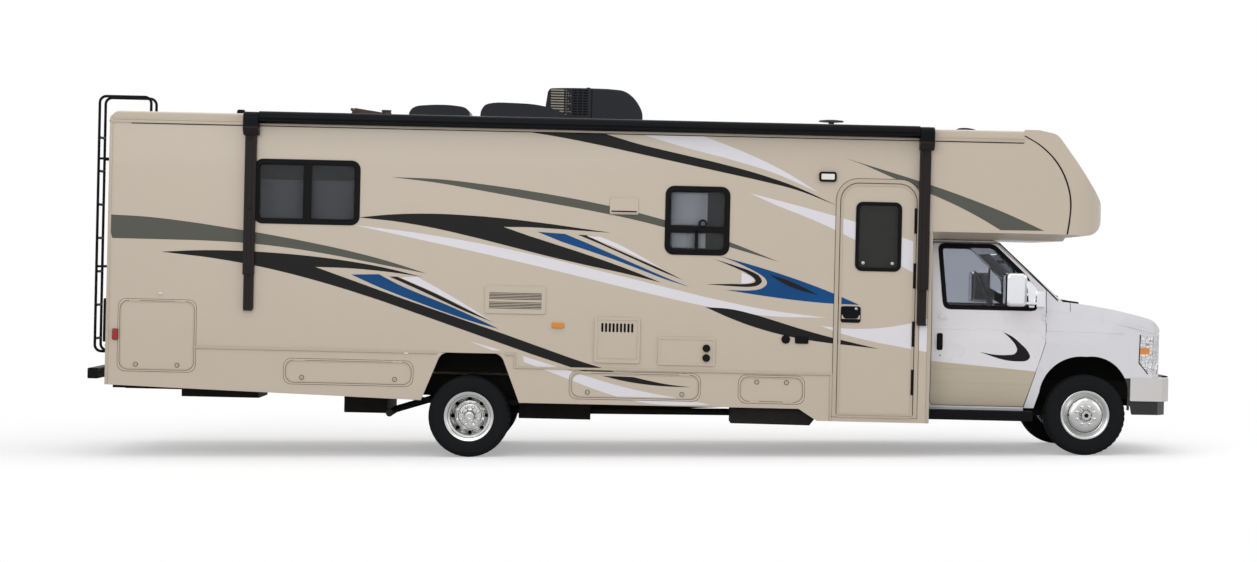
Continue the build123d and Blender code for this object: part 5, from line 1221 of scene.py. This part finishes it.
# %% The cab's side as a surface
def arc_through(a, b, c):
    """Centre and radius of the circle through three (w, y) points."""
    (ax, ay), (bx, by), (cx, cy) = a, b, c
    d = 2 * (ax * (by - cy) + bx * (cy - ay) + cx * (ay - by))
    sa, sb, sc = ax * ax + ay * ay, bx * bx + by * by, cx * cx + cy * cy
    x = (sa * (by - cy) + sb * (cy - ay) + sc * (ay - by)) / d
    y = (sa * (cx - bx) + sb * (ax - cx) + sc * (bx - ax)) / d
    return x, y, math.hypot(ax - x, ay - y)


BELT_W, BELT_Y = 1440, 985      # foot of the door glass, and the half width there
SILL_W = 480
ARC_W, ARC_Y, ARC_R = arc_through((SILL_W, 950), (1150, 1000), (BELT_W, BELT_Y))


def cab_half(w):
    """Half width of the cab side at height w."""
    if w > BELT_W:
        return BELT_Y - (w - BELT_W) * 119 / 580
    return ARC_Y + math.sqrt(max(0.0, ARC_R ** 2 - (max(w, SILL_W) - ARC_W) ** 2))


def on_cab(side):
    """Places (u, depth off the skin, w) on one side of the cab."""
    return lambda u, depth, w: at(u, side * (cab_half(w) + depth), w)


print("cab half width at the crease", round(cab_half(1233), 1))

# %% [markdown]
# ## Strips and soft outlines
# A strip follows a line of points at one width and bends with the surface under it. Door
# glass has an outline with rounded corners, and its seal is that outline grown and shrunk.

# %% Strips and soft outlines
def strip_line(points, width):
    """Closed outline of a strip of one width along a line of (u, w) points."""
    line = [Vector(p) for p in points]
    left, right = [], []
    for i, p in enumerate(line):
        ahead = (line[min(i + 1, len(line) - 1)] - line[max(i - 1, 0)]).normalized()
        off = Vector((-ahead.y, ahead.x)) * width / 2
        left.append(tuple(p + off))
        right.append(tuple(p - off))
    return left + right[::-1]


def strip_on(points, width, d0, d1, place):
    """The same strip as a solid that bends with the surface it lies on."""
    line = strip_line(points, width)
    m = len(line)
    verts = [place(u, d, w) for d in (d0, d1) for u, w in line]
    faces = []
    for i in range(len(points) - 1):
        quad = (i, i + 1, m - 2 - i, m - 1 - i)
        faces += [quad, tuple(v + m for v in quad)]
    faces += [(i, (i + 1) % m, (i + 1) % m + m, i + m) for i in range(m)]
    return verts, faces


def grown(points, amount):
    """Outline moved outward by amount at each corner (points run anticlockwise in u, w)."""
    line = [Vector(p) for p in points]
    out = []
    for i, p in enumerate(line):
        before, after = (p - line[i - 1]).normalized(), (line[(i + 1) % len(line)] - p).normalized()
        n0, n1 = Vector((before.y, -before.x)), Vector((after.y, -after.x))
        bis = (n0 + n1).normalized()
        out.append(tuple(p + bis * amount / max(0.4, bis.dot(n0))))
    return out


def soft_corners(points, radius, steps=4):
    """Outline with each corner rounded by a short arc-like curve."""
    line = [Vector(p) for p in points]
    out = []
    for i, p in enumerate(line):
        a, b = line[i - 1], line[(i + 1) % len(line)]
        r = min(radius, (a - p).length / 2.2, (b - p).length / 2.2)
        p0, p1 = p + (a - p).normalized() * r, p + (b - p).normalized() * r
        for k in range(steps + 1):
            t = k / steps
            out.append(tuple(p0.lerp(p, t).lerp(p.lerp(p1, t), t)))
    return out


print("a strip through 3 points has", len(strip_line([(0, 0), (9, 0), (20, 0)], 2)), "corners")

# %% [markdown]
# ## Door trim
# Rubber seals the door glass, a pressed crease runs along the body, and the handle is a
# black paddle in a recess. The dark crescent is vinyl film on the two-tone door.

# %% Door trim on both sides
GLASS = [(2799, 2000), (2845, 1440), (3670, 1440), (3600, 1700), (3300, 1985), (3260, 2000)]
BODY_LINES = [
    # name, lines as (points, width, from, to off the skin), finish, rides on the door, edge
    ("door_glass_bar", [([(3468, 1450), (3474, 1800)], 20, -8, 2.5)], seal_rubber, True, 1.5),
    ("door_creases", [([(2724, 1233), (3300, 1234), (3766, 1234)], 7, -2, 2.2),
                      ([(2724, 868), (3300, 866), (3686, 862)], 6, -2, 1.8),
                      ([(2724, 742), (3640, 738)], 6, -2, 1.8)], door_lacquer, True, 1.4),
    ("fender_top_joint", [([(3992, 1416), (4300, 1348), (4600, 1284), (4778, 1245)], 13, 0.4, 1.6)], lacquer,
     False, 0.0),
    ("fender_crease", [([(3780, 1234), (4200, 1232), (4500, 1228)], 7, -2, 2.2)], lacquer, False, 1.4),
]
GUTTERS = [
    ("pillar_drip", [([(3338, 2036), (3600, 1790), (3880, 1516)], 12, -1, 5)], seal_rubber, False, 2.0),
    ("door_top_gutter", [([(2716, 2046), (3300, 2046)], 8, -1, 8)], lacquer, False, 2.0),
    ("sill_strip", [([(2700, 512), (3560, 512)], 12, -1, 4)], lacquer, False, 2.0),
]
PLATES = [
    # name, u0, u1, w0, w1, corner, from, to (off the skin), finish, edge
    ("door_handle_cup", 2768, 2824, 1036, 1194, 18, -1, 2.2, abs_black, 1.5),
    ("door_pull", 2775, 2817, 1046, 1184, 16, 6, 26, abs_black, 7.0),
    ("door_key", 2789, 2811, 977, 999, 10.9, -1, 4, anodised, 1.0),
]
CRESCENT = [("crescent", "black", [
    [(3377, 1218), (3469, 1172), (3545, 1109), (3604, 1050), (3630, 991), (3601, 958), (3519, 949),
     (3383, 962), (3164, 1028)],
    [(3307, 1006), (3412, 1005), (3487, 1017), (3509, 1052), (3493, 1100), (3446, 1156), (3377, 1218)]])]


def lay_strips(rows, place, label):
    """Lays each row's strips on one side of the cab."""
    for name, lines, material, on_door, edge in rows:
        piece(f"{name}_{label}", [strip_on(*line, place) for line in lines], material,
              f"cab_door_{label}" if on_door else "coach", bevel_mm=edge)


crescent = cut_film(CRESCENT, [], [], [(3000, 800), (3800, 800), (3800, 1400), (3000, 1400)])
for side, label in SIDES:
    place, body = on_cab(side), f"cab_door_{label}"
    outer, inner = soft_corners(grown(GLASS, 26), 70), soft_corners(grown(GLASS, -16), 40)
    piece(f"door_glass_seal_{label}", [ring(outer, inner, -4, 3.5, place)], seal_rubber, body, bevel_mm=1.5)
    lay_strips(BODY_LINES, place, label)
    for name, *outline, d0, d1, material, edge in PLATES:
        piece(f"{name}_{label}", [slab(rounded(*outline), d0, d1, place)], material, body, bevel_mm=edge)
    film_piece(f"door_crescent_{label}", crescent[("black", "coach")], vinyl["black"], body, side, lift=1.0,
               thick=0.8, skin=cab_half)
    lay_strips(GUTTERS, place, label)
print("door trim", len(BODY_LINES) + len(PLATES) + len(GUTTERS) + 2, "pieces a side")

# %% [markdown]
# ## Mirrors
# The trailer-tow mirror has a chromed shell with a flat glass above a small wide-angle one.
# Each glass is a thin plate of polished metal, since that is what a mirror shows.

# %% Mirrors
MIRROR, MIRROR_U = (1221, 1444, 1466, 1754), 3340
MIRROR_FOOT = [(3660, 1446), (3690, 1610), (3640, 1680), (3590, 1700), (3610, 1446)]
for side, label in SIDES:
    body = f"cab_door_{label}"

    def mirror_at(y, behind, w, side=side):
        """Outline in (y, w) on the mirror's rear face, and how far behind it."""
        return at(MIRROR_U - behind, side * y, w)

    piece(f"mirror_rim_{label}", [ring(inset(MIRROR, 0, 34), inset(MIRROR, 11, 26), -3, 4, mirror_at)],
          abs_black, body, bevel_mm=1.5)
    piece(f"mirror_glass_{label}", [slab(rounded(1233, 1432, 1548, 1742, 24), 0.2, 2.2, mirror_at),
                                    slab(rounded(1233, 1432, 1478, 1538, 20), 0.2, 2.6, mirror_at)],
          polished, body, bevel_mm=0.6)
    piece(f"mirror_foot_{label}", [slab(MIRROR_FOOT, 2, 14, on_cab(side))], chrome, body, bevel_mm=4.0)
print("mirrors done")

# %% [markdown]
# ## Cowl
# Air for the cab comes in through a black grille below the windscreen, whose fins are bars
# of their own. The hood has a small vent in each rear corner.

# %% Cowl and hood vents
COWL_TOP = [(3884, 1530), (3945, 1524), (3986, 1517), (3986, 1498), (3905, 1505)]
HOOD_VENT = [(3998, 1516), (4040, 1512), (4086, 1505), (4086, 1490), (4040, 1495), (3998, 1499)]
piece("cowl_grille", [slab(COWL_TOP, -930, 930)], abs_black, bevel_mm=2.0)
fins = [brick(3915, 3978, y, y + 6, 1511, 1517) for y in range(-860, 861, 34)]
piece("cowl_fins", fins, abs_black, bevel_mm=0.8)
for side, label in SIDES:
    piece(f"hood_corner_vent_{label}", [slab(HOOD_VENT, *sorted((side * 560.0, side * 872.0)))], abs_black,
          "hood", bevel_mm=1.5)
print("cowl fins", len(fins))

# %% [markdown]
# ## Windscreen
# The windscreen is one bulged pane, fullest across its middle and narrower at its head. It
# is made as a grid of points bent by a formula, because a flat pane would mirror the room
# as one even patch.

# %% Windscreen
SCREEN_UP, SCREEN_OUT = Vector((-590, 0, 540)).normalized(), Vector((540, 0, 590)).normalized()
ROWS, COLUMNS, BULGE = 10, 24, 62.0


def glass_at(y, d, along):
    """Point on the windscreen: along millimetres up from its base, d above it."""
    u = 3925 + SCREEN_UP.x * along + SCREEN_OUT.x * d
    w = 1505 + SCREEN_UP.z * along + SCREEN_OUT.z * d
    return at(u, y, w)


def screen_row(i):
    """How far up row i of the glass lies, and half its width."""
    return 14 + 618 * i / ROWS, 792 - 96 * i / ROWS


front, back = [], []
for i in range(ROWS + 1):
    along, half = screen_row(i)
    for k in range(COLUMNS + 1):
        t = 2 * k / COLUMNS - 1
        bow = BULGE * (1 - t * t) * math.sin(math.pi * (0.5 + 0.35 * (i / ROWS - 0.5)))
        front.append(glass_at(half * t, bow - 1, along))
        back.append(glass_at(half * t, bow - 7, along))
n, m = len(front), COLUMNS + 1
faces = []
for i in range(ROWS):
    for k in range(COLUMNS):
        a = i * m + k
        faces += [(a, a + 1, a + m + 1, a + m), (a + n, a + m + n, a + m + 1 + n, a + 1 + n)]
rim = list(range(COLUMNS)) + [i * m + COLUMNS for i in range(ROWS)]
rim += [ROWS * m + k for k in range(COLUMNS, 0, -1)] + [i * m for i in range(ROWS, 0, -1)]
faces += [(a, b, b + n, a + n) for a, b in zip(rim, rim[1:] + rim[:1])]
piece("windscreen_glass", [(front + back, faces)], screen_glass, sharp=60, stands_for="windscreen")
print("windscreen", len(faces), "faces")

# %% [markdown]
# ## Windscreen strips, wipers and seal
# A rubber strip closes the foot of the glass and a painted one its head. Two wipers park
# along the foot, each with an arm, a blade and a round cap on its shaft. All of them are
# placed by `glass_at`, so they lie along the slope.

# %% Windscreen strips, wipers and seal
STRIP_M = 0.012
for label, row, material in (("foot", 0, seal_rubber), ("head", ROWS, lacquer)):
    along, half = screen_row(row)
    edge = front[row * m:(row + 1) * m] + [glass_at(half * (2 * k / COLUMNS - 1), -16, along)
                                           for k in range(m)]
    up = SCREEN_UP * STRIP_M * (1 if row else -1)
    faces = [(0, m, 3 * m, 2 * m), (m - 1, 2 * m - 1, 4 * m - 1, 3 * m - 1)]
    for k in range(m - 1):
        faces += [(k, k + 1, m + k + 1, m + k), (2 * m + k, 2 * m + k + 1, 3 * m + k + 1, 3 * m + k)]
        faces += [(k, k + 1, 2 * m + k + 1, 2 * m + k), (m + k, m + k + 1, 3 * m + k + 1, 3 * m + k)]
    piece(f"windscreen_{label}_strip", [(edge + [v + up for v in edge], faces)], material)

arms = []
for y in (-430, 250):
    arms.append(rod([(y, 22, 20), (y, 30, 44), (y - 60, 22, 90), (y - 210, 12, 108)], 6, 10, place=glass_at))
    arms.append(rod([(y - 470, 8, 62), (y - 230, 9, 112), (y + 40, 8, 128)], 5, 8, place=glass_at))
    arms.append(lathe([(0, 0.1), (0, 15), (30, 12), (34, 8), (34, 0.1)], (3948, y, 1502), axis="w", steps=20))
piece("wipers", arms, powder_black)
piece("windscreen_seal", [ring([(-786, 10), (786, 10), (690, 560), (-690, 560)],
                               [(-736, 60), (736, 60), (646, 518), (-646, 518)], -8, -6.5, glass_at)],
      seal_rubber)
print("wiper parts", len(arms))

# %% [markdown]
# ## Front end
# The lamp is a clear moulded cover over bright reflectors, with the amber turn lamp in the
# middle. The grille is moulded black plastic with a mesh behind it, and a black plate behind
# the mesh stands for the dark inside the opening, which is painted shade. The front plate is
# left blank.

# %% Front end
LAMP_EDGE = [(4640, 1219), (4634, 955), (4722, 853), (4728, 860), (4644, 958), (4650, 1219)]
PLATE_U = 4982.5


def nose_half(u):
    """Half width of the nose from above, where the lamps wrap round."""
    return 988 - (u - 4560) * 20 / 200 if u < 4760 else 968 - (u - 4760) * 68 / 75


def plate_at(y, d, w):
    """Outline drawn in (y, w) on the front bumper, d in front of the plate's back."""
    return at(PLATE_U + d, y, w)


mesh_bars = [brick(4838, 4842, y, y + 3, 880, 1200) for y in range(-570, 571, 22)]
# the first brick is a black plate behind the mesh bars for the dark inside the opening: painted shade
piece("grille_mesh_and_painted_shade", [brick(4828, 4836, -585, 585, 875, 1205)] + mesh_bars, abs_black)
for side, label in SIDES:
    piece(f"headlamp_edge_{label}", [slab(LAMP_EDGE, -24, 2, lambda u, d, w, s=side: at(
        u, s * (nose_half(u) + d), w))], abs_black, bevel_mm=1.0)
piece("front_plate_blank", [slab(rounded(-152, 152, 640, 792, 12), 0, 3, plate_at)], trim_white, bevel_mm=0.8)
pad = [slab([(4905, 819), (4930, 832), (4968, 832), (4976, 819)], -620, 620)]
piece("bumper_step_pad", pad, abs_black, bevel_mm=2.0)
print("mesh bars", len(mesh_bars))

# %% [markdown]
# ## Air conditioner
# The roof unit has a moulded shroud with a ridge along its top. Fins and open slots in
# both flanks let the air through; each slot is a dark plate that stands for the shade
# inside it, which is painted shade. The shroud is one outline from the side with a wide
# bevel, as a moulded part has no sharp edge.

# %% Air conditioner shroud
top = curve([(-860, 3404), (-700, 3410), (-480, 3411), (-260, 3405), (-160, 3390), (-80, 3338), (-20, 3262),
             (12, 3190), (17, 3130)], 5)
shroud = [(6, 3057.5), (-884, 3057.5), (-905, 3118), (-900, 3240), (-882, 3370)] + [tuple(p) for p in top]
piece("air_conditioner_shroud", [slab(shroud, -345, 345)], shroud_grey, bevel_mm=16.0,
      stands_for="roof_air_conditioner")
ridge = [(-523, 3411), (-514, 3420), (-486, 3420), (-477, 3411), (-477, 3405), (-523, 3405)]
piece("air_conditioner_ridge", [slab(ridge, -300, 300)], shroud_grey, bevel_mm=3.0)
fins, holes, lines = [], [], []
for y0, y1 in ((-347.0, -342.0), (342.0, 347.0)):
    for i in range(10):
        w = 3381 - 25 * i
        fins.append(brick(-852, -728, y0, y1, w, w + 11))
        fins += [brick(u, u + 9, y0, y1, w, w + 8) for u in (-712, -692, -672)[:i % 3 + 1]]
        holes += [brick(u, u + 40, y0, y1, w, w + 15) for u in (-645, -595, -545)]
for y0, y1 in ((-347, -343), (343, 347)):
    lines += [brick(-470, -462, y0, y1, 3075, 3400), brick(-880, 10, y0, y1, 3096, 3102)]
piece("air_conditioner_fins", fins, fin_stock, bevel_mm=1.0)
# dark plates for the shade in the open slots: painted shade
piece("air_conditioner_holes_painted_shade", holes, seal_rubber)
piece("air_conditioner_joints", lines, seal_rubber, bevel_mm=1.0)
print("fins", len(fins), "holes", len(holes))

# %% [markdown]
# ## Vents and small roof items
# Vents have domed lids on flanges; a dome is a smooth curve through a few points, carried
# across. The television antenna lies folded, and two plumbing vents and a satellite disc
# stand on the membrane.

# %% Vent lids and small roof items
DECK = 3057.3       # the height small items stand on, just above the roof
LIDS = [
    # y0, y1, outline of the dome from the side
    (-290, 290, [(-2196, 3100), (-2180, 3165), (-2130, 3205), (-2010, 3222), (-1891, 3227), (-1760, 3222),
                 (-1660, 3203), (-1622, 3165), (-1612, 3100)]),
    (-900, -480, [(-1486, 3100), (-1478, 3150), (-1440, 3203), (-1360, 3225), (-1180, 3227), (-980, 3217),
                  (-840, 3190), (-730, 3150), (-656, 3100)]),
    (-230, 190, [(1140, 3075), (1170, 3096), (1350, 3102), (1530, 3096), (1560, 3075)]),
    (-120, 120, [(2990, 3085), (3010, 3118), (3105, 3128), (3190, 3110), (3220, 3085)]),
]
domes, flanges = [], []
for y0, y1, line in LIDS:
    u0, u1, low = line[0][0], line[-1][0], line[0][1]
    domes.append(slab([(u1, low - 14), (u0, low - 14)] + [tuple(p) for p in curve(line, 4)], y0, y1))
    domes.append(brick(u0 + 12, u1 - 12, y0 + 12, y1 - 12, 3057.5, low - 12))
    flanges.append(brick(u0 - 18, u1 + 18, y0 - 18, y1 + 18, 3057.2, 3063))
piece("roof_vent_lids", domes, shroud_grey, bevel_mm=9.0, stands_for="roof_vents")
piece("roof_vent_flanges", flanges, trim_white, bevel_mm=2.0)
arm = [(-2690, 3100), (-2684, 3148), (-2656, 3156), (-2413, 3122), (-2413, 3096)]
piece("television_antenna", [slab(arm, -722, -678), rod([(-2660, -1010, 3128), (-2660, -390, 3128)], 14),
                             lathe([(0, 0.1), (0, 60), (40, 52), (48, 20), (48, 0.1)], (-2440, -700, DECK),
                                   axis="w", steps=24)], mast_brown, bevel_mm=1.5)
STANDING = [
    # name, (height, radius) profile, u, y, steps, finish
    ("plumbing_vent", [(0, 0.1), (0, 42), (52, 42), (56, 48), (66, 48), (70, 42), (76, 42), (80, 48),
                       (90, 46), (92, 0.1)], -2375, -620, 28, mast_brown),
    ("roof_plumbing_cap", [(0, 0.1), (0, 44), (46, 38), (56, 34), (60, 24), (60, 0.1)], -3720, -700, 24,
     abs_black),
    ("satellite_disc", [(0, 0.1), (0, 70), (10, 66), (14, 30), (72, 26), (78, 112), (86, 118), (92, 112),
                        (98, 60), (100, 0.1)], 1785, -500, 40, mast_brown),
]
for name, profile, u, y, steps, material in STANDING:
    piece(name, [lathe(profile, (u, y, DECK), axis="w", steps=steps)], material)
print("lids", len(LIDS), "standing items", len(STANDING))

# %% [markdown]
# ## Cab seats
# A seat cushion is a **crowned** form: full in the middle, pulled in along its
# edges and creased where channels are sewn across it. One formula for a rounded block gives
# all of that, where a subdivided box would need its creases set by hand.

# %% Padded seats
STEPS = 18


def padded_piece(name, centre, half, lean, channels):
    """Crowned cushion at centre (u, y, w) with half sizes, leaning back by lean degrees."""
    c, q = math.cos(math.radians(lean)), math.sin(math.radians(lean))
    verts, faces = [], []
    for axis in range(3):
        for sign in (-1, 1):
            base = len(verts)
            for i in range(STEPS + 1):
                for j in range(STEPS + 1):
                    p = [0.0, 0.0, 0.0]
                    p[axis], p[(axis + 1) % 3], p[(axis + 2) % 3] = sign, 2 * i / STEPS - 1, 2 * j / STEPS - 1
                    size = sum(abs(x) ** 5 for x in p) ** 0.2
                    x, y, z = (x / size for x in p)
                    x, y = x * (1 - 0.035 * (1 - y * y)), y * (1 - 0.035 * (1 - x * x))
                    z *= 0.78 + 0.22 * (1 - x * x) * (1 - y * y)
                    z *= 1 - 0.1 * sum(math.exp(-((x - k) / 0.035) ** 2) for k in channels)
                    a, b, d = x * half[0], y * half[1], z * half[2]
                    verts.append(at(centre[0] + a * c - d * q, centre[1] + b, centre[2] + a * q + d * c))
            for i in range(STEPS):
                for j in range(STEPS):
                    k = base + i * (STEPS + 1) + j
                    faces.append((k, k + 1, k + STEPS + 2, k + STEPS + 1))
    made = piece(name, [(verts, faces)], cloth, stands_for="cab_seats", sharp=60)


for side, label in SIDES:
    y = side * 430
    padded_piece(f"seat_cushion_{label}", (3068, y, 935), (235, 240, 58), 3, (-0.5, 0, 0.5))
    padded_piece(f"seat_back_{label}", (2845, y, 1305), (318, 230, 56), 99, (-0.5, 0, 0.5))
    padded_piece(f"head_rest_{label}", (2786, y, 1733), (92, 128, 42), 96, ())
    piece(f"seat_pedestal_{label}", [brick(2850, 3230, y - 180, y + 180, 733, 868)], dash, bevel_mm=8.0,
          stands_for="cab_seats")
    piece(f"head_rest_posts_{label}", [rod([(2793, y + d, 1600), (2788, y + d, 1660)], 7) for d in (-50, 50)],
          anodised, stands_for="cab_seats")
print("seats", len(SIDES))

# %% [markdown]
# ## Awning
# The rolled cloth is a real spiral sheet, of which only the two outer turns are made: a
# plain tube would do from afar, but its ends would not show the cloth's edge. The arms fold
# flat against the wall, under black covers.

# %% Awning cloth, hem and arm details
AWNING_Y, AWNING_W = -SIDE - 72.0, 3022.0
CLOTH_U = (-3464.0, 2533.0)
TURN = 30
spiral = [(49 + 7.4 * k / (2 * TURN), 2 * math.pi * k / TURN) for k in range(2 * TURN + 1)]
spiral = [(r * math.cos(a), r * math.sin(a)) for r, a in spiral]
n = len(spiral)
verts = [at(u, AWNING_Y + y, AWNING_W + w) for u in CLOTH_U for y, w in spiral]
faces = [(i, i + 1, n + i + 1, n + i) for i in range(n - 1)]
cloth_roll = piece("awning_cloth_roll", [(verts, faces)], awning_vinyl)
cloth_thickness(cloth_roll)
hem = [lathe([(0, 0.1), (0, 9), (5990, 9), (5990, 0.1)], (-3462, AWNING_Y - 51, AWNING_W - 30), axis="u",
             steps=16)]
piece("awning_hem_bar", hem, powder_black)
details = []
for mid in (-3542.5, 2596.0):
    details.append(brick(mid - 16, mid + 16, -SIDE - 50, -SIDE - 58, 1640, 2820))
    details.append(brick(mid - 12, mid + 12, -SIDE - 40, -SIDE - 47, 1300, 1560))
    details += [lathe([(0, 0.1), (0, 18), (-12, 18), (-15, 12), (-15, 0.1)], (mid, -SIDE - 50, w), steps=20)
                for w in (1600, 2200, 2840)]
    details.append(brick(mid - 40, mid + 40, -SIDE - 44, -SIDE - 1, 1262, 1281))
piece("awning_arm_covers", details, awning_paint, bevel_mm=3.0)

# %% [markdown]
# ## Inside the cab
# What shows through the glass is the steering wheel, its column and the belts. They stay
# simple forms, turned or drawn as bars, because so little of them shows.

# %% Cab interior
def tilted(centre, degrees):
    """Places (right, along the axis, up) millimetres on a column leaning back by degrees."""
    s, c = math.sin(math.radians(degrees)), math.cos(math.radians(degrees))
    return lambda x, y, z: at(centre[0] - z * s - y * c, centre[1] + x, centre[2] + z * c + y * s)


wheel_at = tilted((3370, 430, 1590), 28)
rim_circle = [(12 * math.sin(2 * math.pi * k / 10), 192 + 14 * math.cos(2 * math.pi * k / 10))
              for k in range(10)]
parts = [lathe(rim_circle, (0, 0, 0), steps=48, place=wheel_at),
         lathe([(-26, 0.1), (-26, 70), (10, 82), (24, 60), (24, 0.1)], (0, 0, 0), steps=28, place=wheel_at)]
for a in (20, 160, 270):
    c, s = math.cos(math.radians(a)), math.sin(math.radians(a))
    parts.append(rod([(60 * c, 0, 60 * s), (188 * c, 0, 188 * s)], 13, 8, place=wheel_at))
parts.append(rod([(0, -20, 0), (0, -330, 0)], 42, 16, place=wheel_at))
piece("steering_wheel", parts, abs_black)
for side, label in SIDES:
    belt = piece(f"seat_belt_{label}", [brick(2760, 2761.4, side * 690, side * 738, 1150, 1960)], cloth)
print("cab interior done")

# %% [markdown]
# ## Stripes on the left wall
# The left side carries the same design, mirrored, and cut round that side's own windows.

# %% Left wall film
LEFT_EDGE = [(-4808, 560), (-1960, 560), (-1960, 960), (-1040, 960), (-1040, 481), (2676, 381), (2676, 2118),
             (3898, 2127), (3925, 2300), (3850, 2690), (3520, 2945), (-4808, 2945)]
left_films = cut_film([row for row in STRIPES if row[0] != "black_hatch"], [], NO_FILM["left"], LEFT_EDGE)
for (film, body), triangles in sorted(left_films.items()):
    film_piece(f"stripe_{film}_left", triangles, vinyl[film], body, SIDE)
print("left films", {key: len(value) for key, value in sorted(left_films.items())})

# %% [markdown]
# ## Floor
# The coach stands on a pale studio floor that takes its shadow and fades to white farther
# off. Only the camera sees it white, straight or through glass, so that no bright floor
# lights the paint from below.

# %% Studio floor
WHITE = linear("#FFFFFF")


def studio_floor():
    """Pale floor that the camera sees fade to white, straight or through glass."""
    made, tree, out, place = blank_material("studio_floor")
    surface = node(tree, "ShaderNodeBsdfDiffuse", {"Color": linear("#E4E4E5")})
    glow = node(tree, "ShaderNodeEmission", {"Color": WHITE, "Strength": 0.35})
    white = node(tree, "ShaderNodeEmission", {"Color": WHITE, "Strength": 1.0})
    lifted = node(tree, "ShaderNodeAddShader", {0: surface.outputs[0], 1: glow.outputs[0]})
    away = node(tree, "ShaderNodeVectorMath", {0: place}, operation="LENGTH").outputs["Value"]
    far = node(tree, "ShaderNodeMapRange", {"Value": away, "From Min": 6.5, "From Max": 9.0})
    shown = node(tree, "ShaderNodeMixShader", {0: far.outputs["Result"], 1: lifted.outputs[0],
                                               2: white.outputs[0]})
    ray = node(tree, "ShaderNodeLightPath").outputs
    seen = node(tree, "ShaderNodeMath", {0: ray["Is Camera Ray"], 1: ray["Is Transmission Ray"]},
                operation="MAXIMUM").outputs[0]
    mixed = node(tree, "ShaderNodeMixShader", {0: seen, 1: surface.outputs[0], 2: shown.outputs[0]})
    tree.links.new(mixed.outputs[0], out.inputs["Surface"])
    mesh = bpy.data.meshes.new("floor")
    mesh.from_pydata([(-60, -60, 0), (60, -60, 0), (60, 60, 0), (-60, 60, 0)], [], [(0, 1, 2, 3)])
    floor = link_mesh("floor", mesh, made, None)
    floor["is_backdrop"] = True


studio_floor()
print("floor laid")

# %% [markdown]
# ## Lights
# One broad overhead light and three soft ones round the coach let a paint colour read
# about as it is written. The surroundings look white to the camera and in reflections, but
# light the coach only half as much.

# %% Lights and surroundings
LIGHTS = [
    # name, where, aimed at, size in metres, watts
    ("overhead", (0, -3, 14), (0, 0, 1), 16, 620),
    ("near_side", (-4, -20, 9), (0, 0, 1.5), 12, 1000),
    ("front_quarter", (16, -10, 8), (3, 0, 1.5), 8, 340),
    ("far_side", (2, 18, 9), (0, 0, 1.5), 12, 700),
]
for name, where, aim, size, watts in LIGHTS:
    lamp = bpy.data.lights.new(name, "AREA")
    lamp.shape, lamp.size, lamp.energy = "SQUARE", size, watts
    holder = bpy.data.objects.new(name, lamp)
    holder.location = where
    holder.rotation_euler = (Vector(aim) - Vector(where)).to_track_quat("-Z", "Y").to_euler()
    bpy.context.scene.collection.objects.link(holder)

world = bpy.data.worlds.new("studio")
bpy.context.scene.world = world
world.use_nodes = True
tree = world.node_tree
tree.nodes.clear()
ray = node(tree, "ShaderNodeLightPath").outputs
seen = ray["Is Camera Ray"]
for kind in ("Is Glossy Ray", "Is Transmission Ray"):
    seen = node(tree, "ShaderNodeMath", {0: seen, 1: ray[kind]}, operation="MAXIMUM").outputs[0]
dim = node(tree, "ShaderNodeBackground", {"Color": WHITE, "Strength": 0.55})
white = node(tree, "ShaderNodeBackground", {"Color": WHITE, "Strength": 1.0})
mixed = node(tree, "ShaderNodeMixShader", {0: seen, 1: dim.outputs[0], 2: white.outputs[0]})
node(tree, "ShaderNodeOutputWorld", {"Surface": mixed.outputs[0]})
print("lights", len(LIGHTS))

# %% [markdown]
# ## Camera
# The camera stands at eye height, far off and square to the side, with a long lens, so the
# side is drawn with hardly any perspective.

# %% Camera
IMAGE_WIDTH, FOCAL = 1257, 2933     # both in pixels
eye = bpy.data.cameras.new("camera")
eye.sensor_width = 36.0
eye.lens = eye.sensor_width * FOCAL / IMAGE_WIDTH
camera = bpy.data.objects.new("camera", eye)
camera.location = (-0.045 + SHIFT, -28.0, 1.8)
camera.rotation_euler = (math.radians(90 - 0.4056), 0, 0)
bpy.context.scene.collection.objects.link(camera)
bpy.context.scene.camera = camera
bpy.context.scene.view_settings.view_transform = "Standard"
print("lens", round(eye.lens, 1), "mm")

low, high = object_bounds()
print("visual box", [round(v, 3) for v in low], [round(v, 3) for v in high])
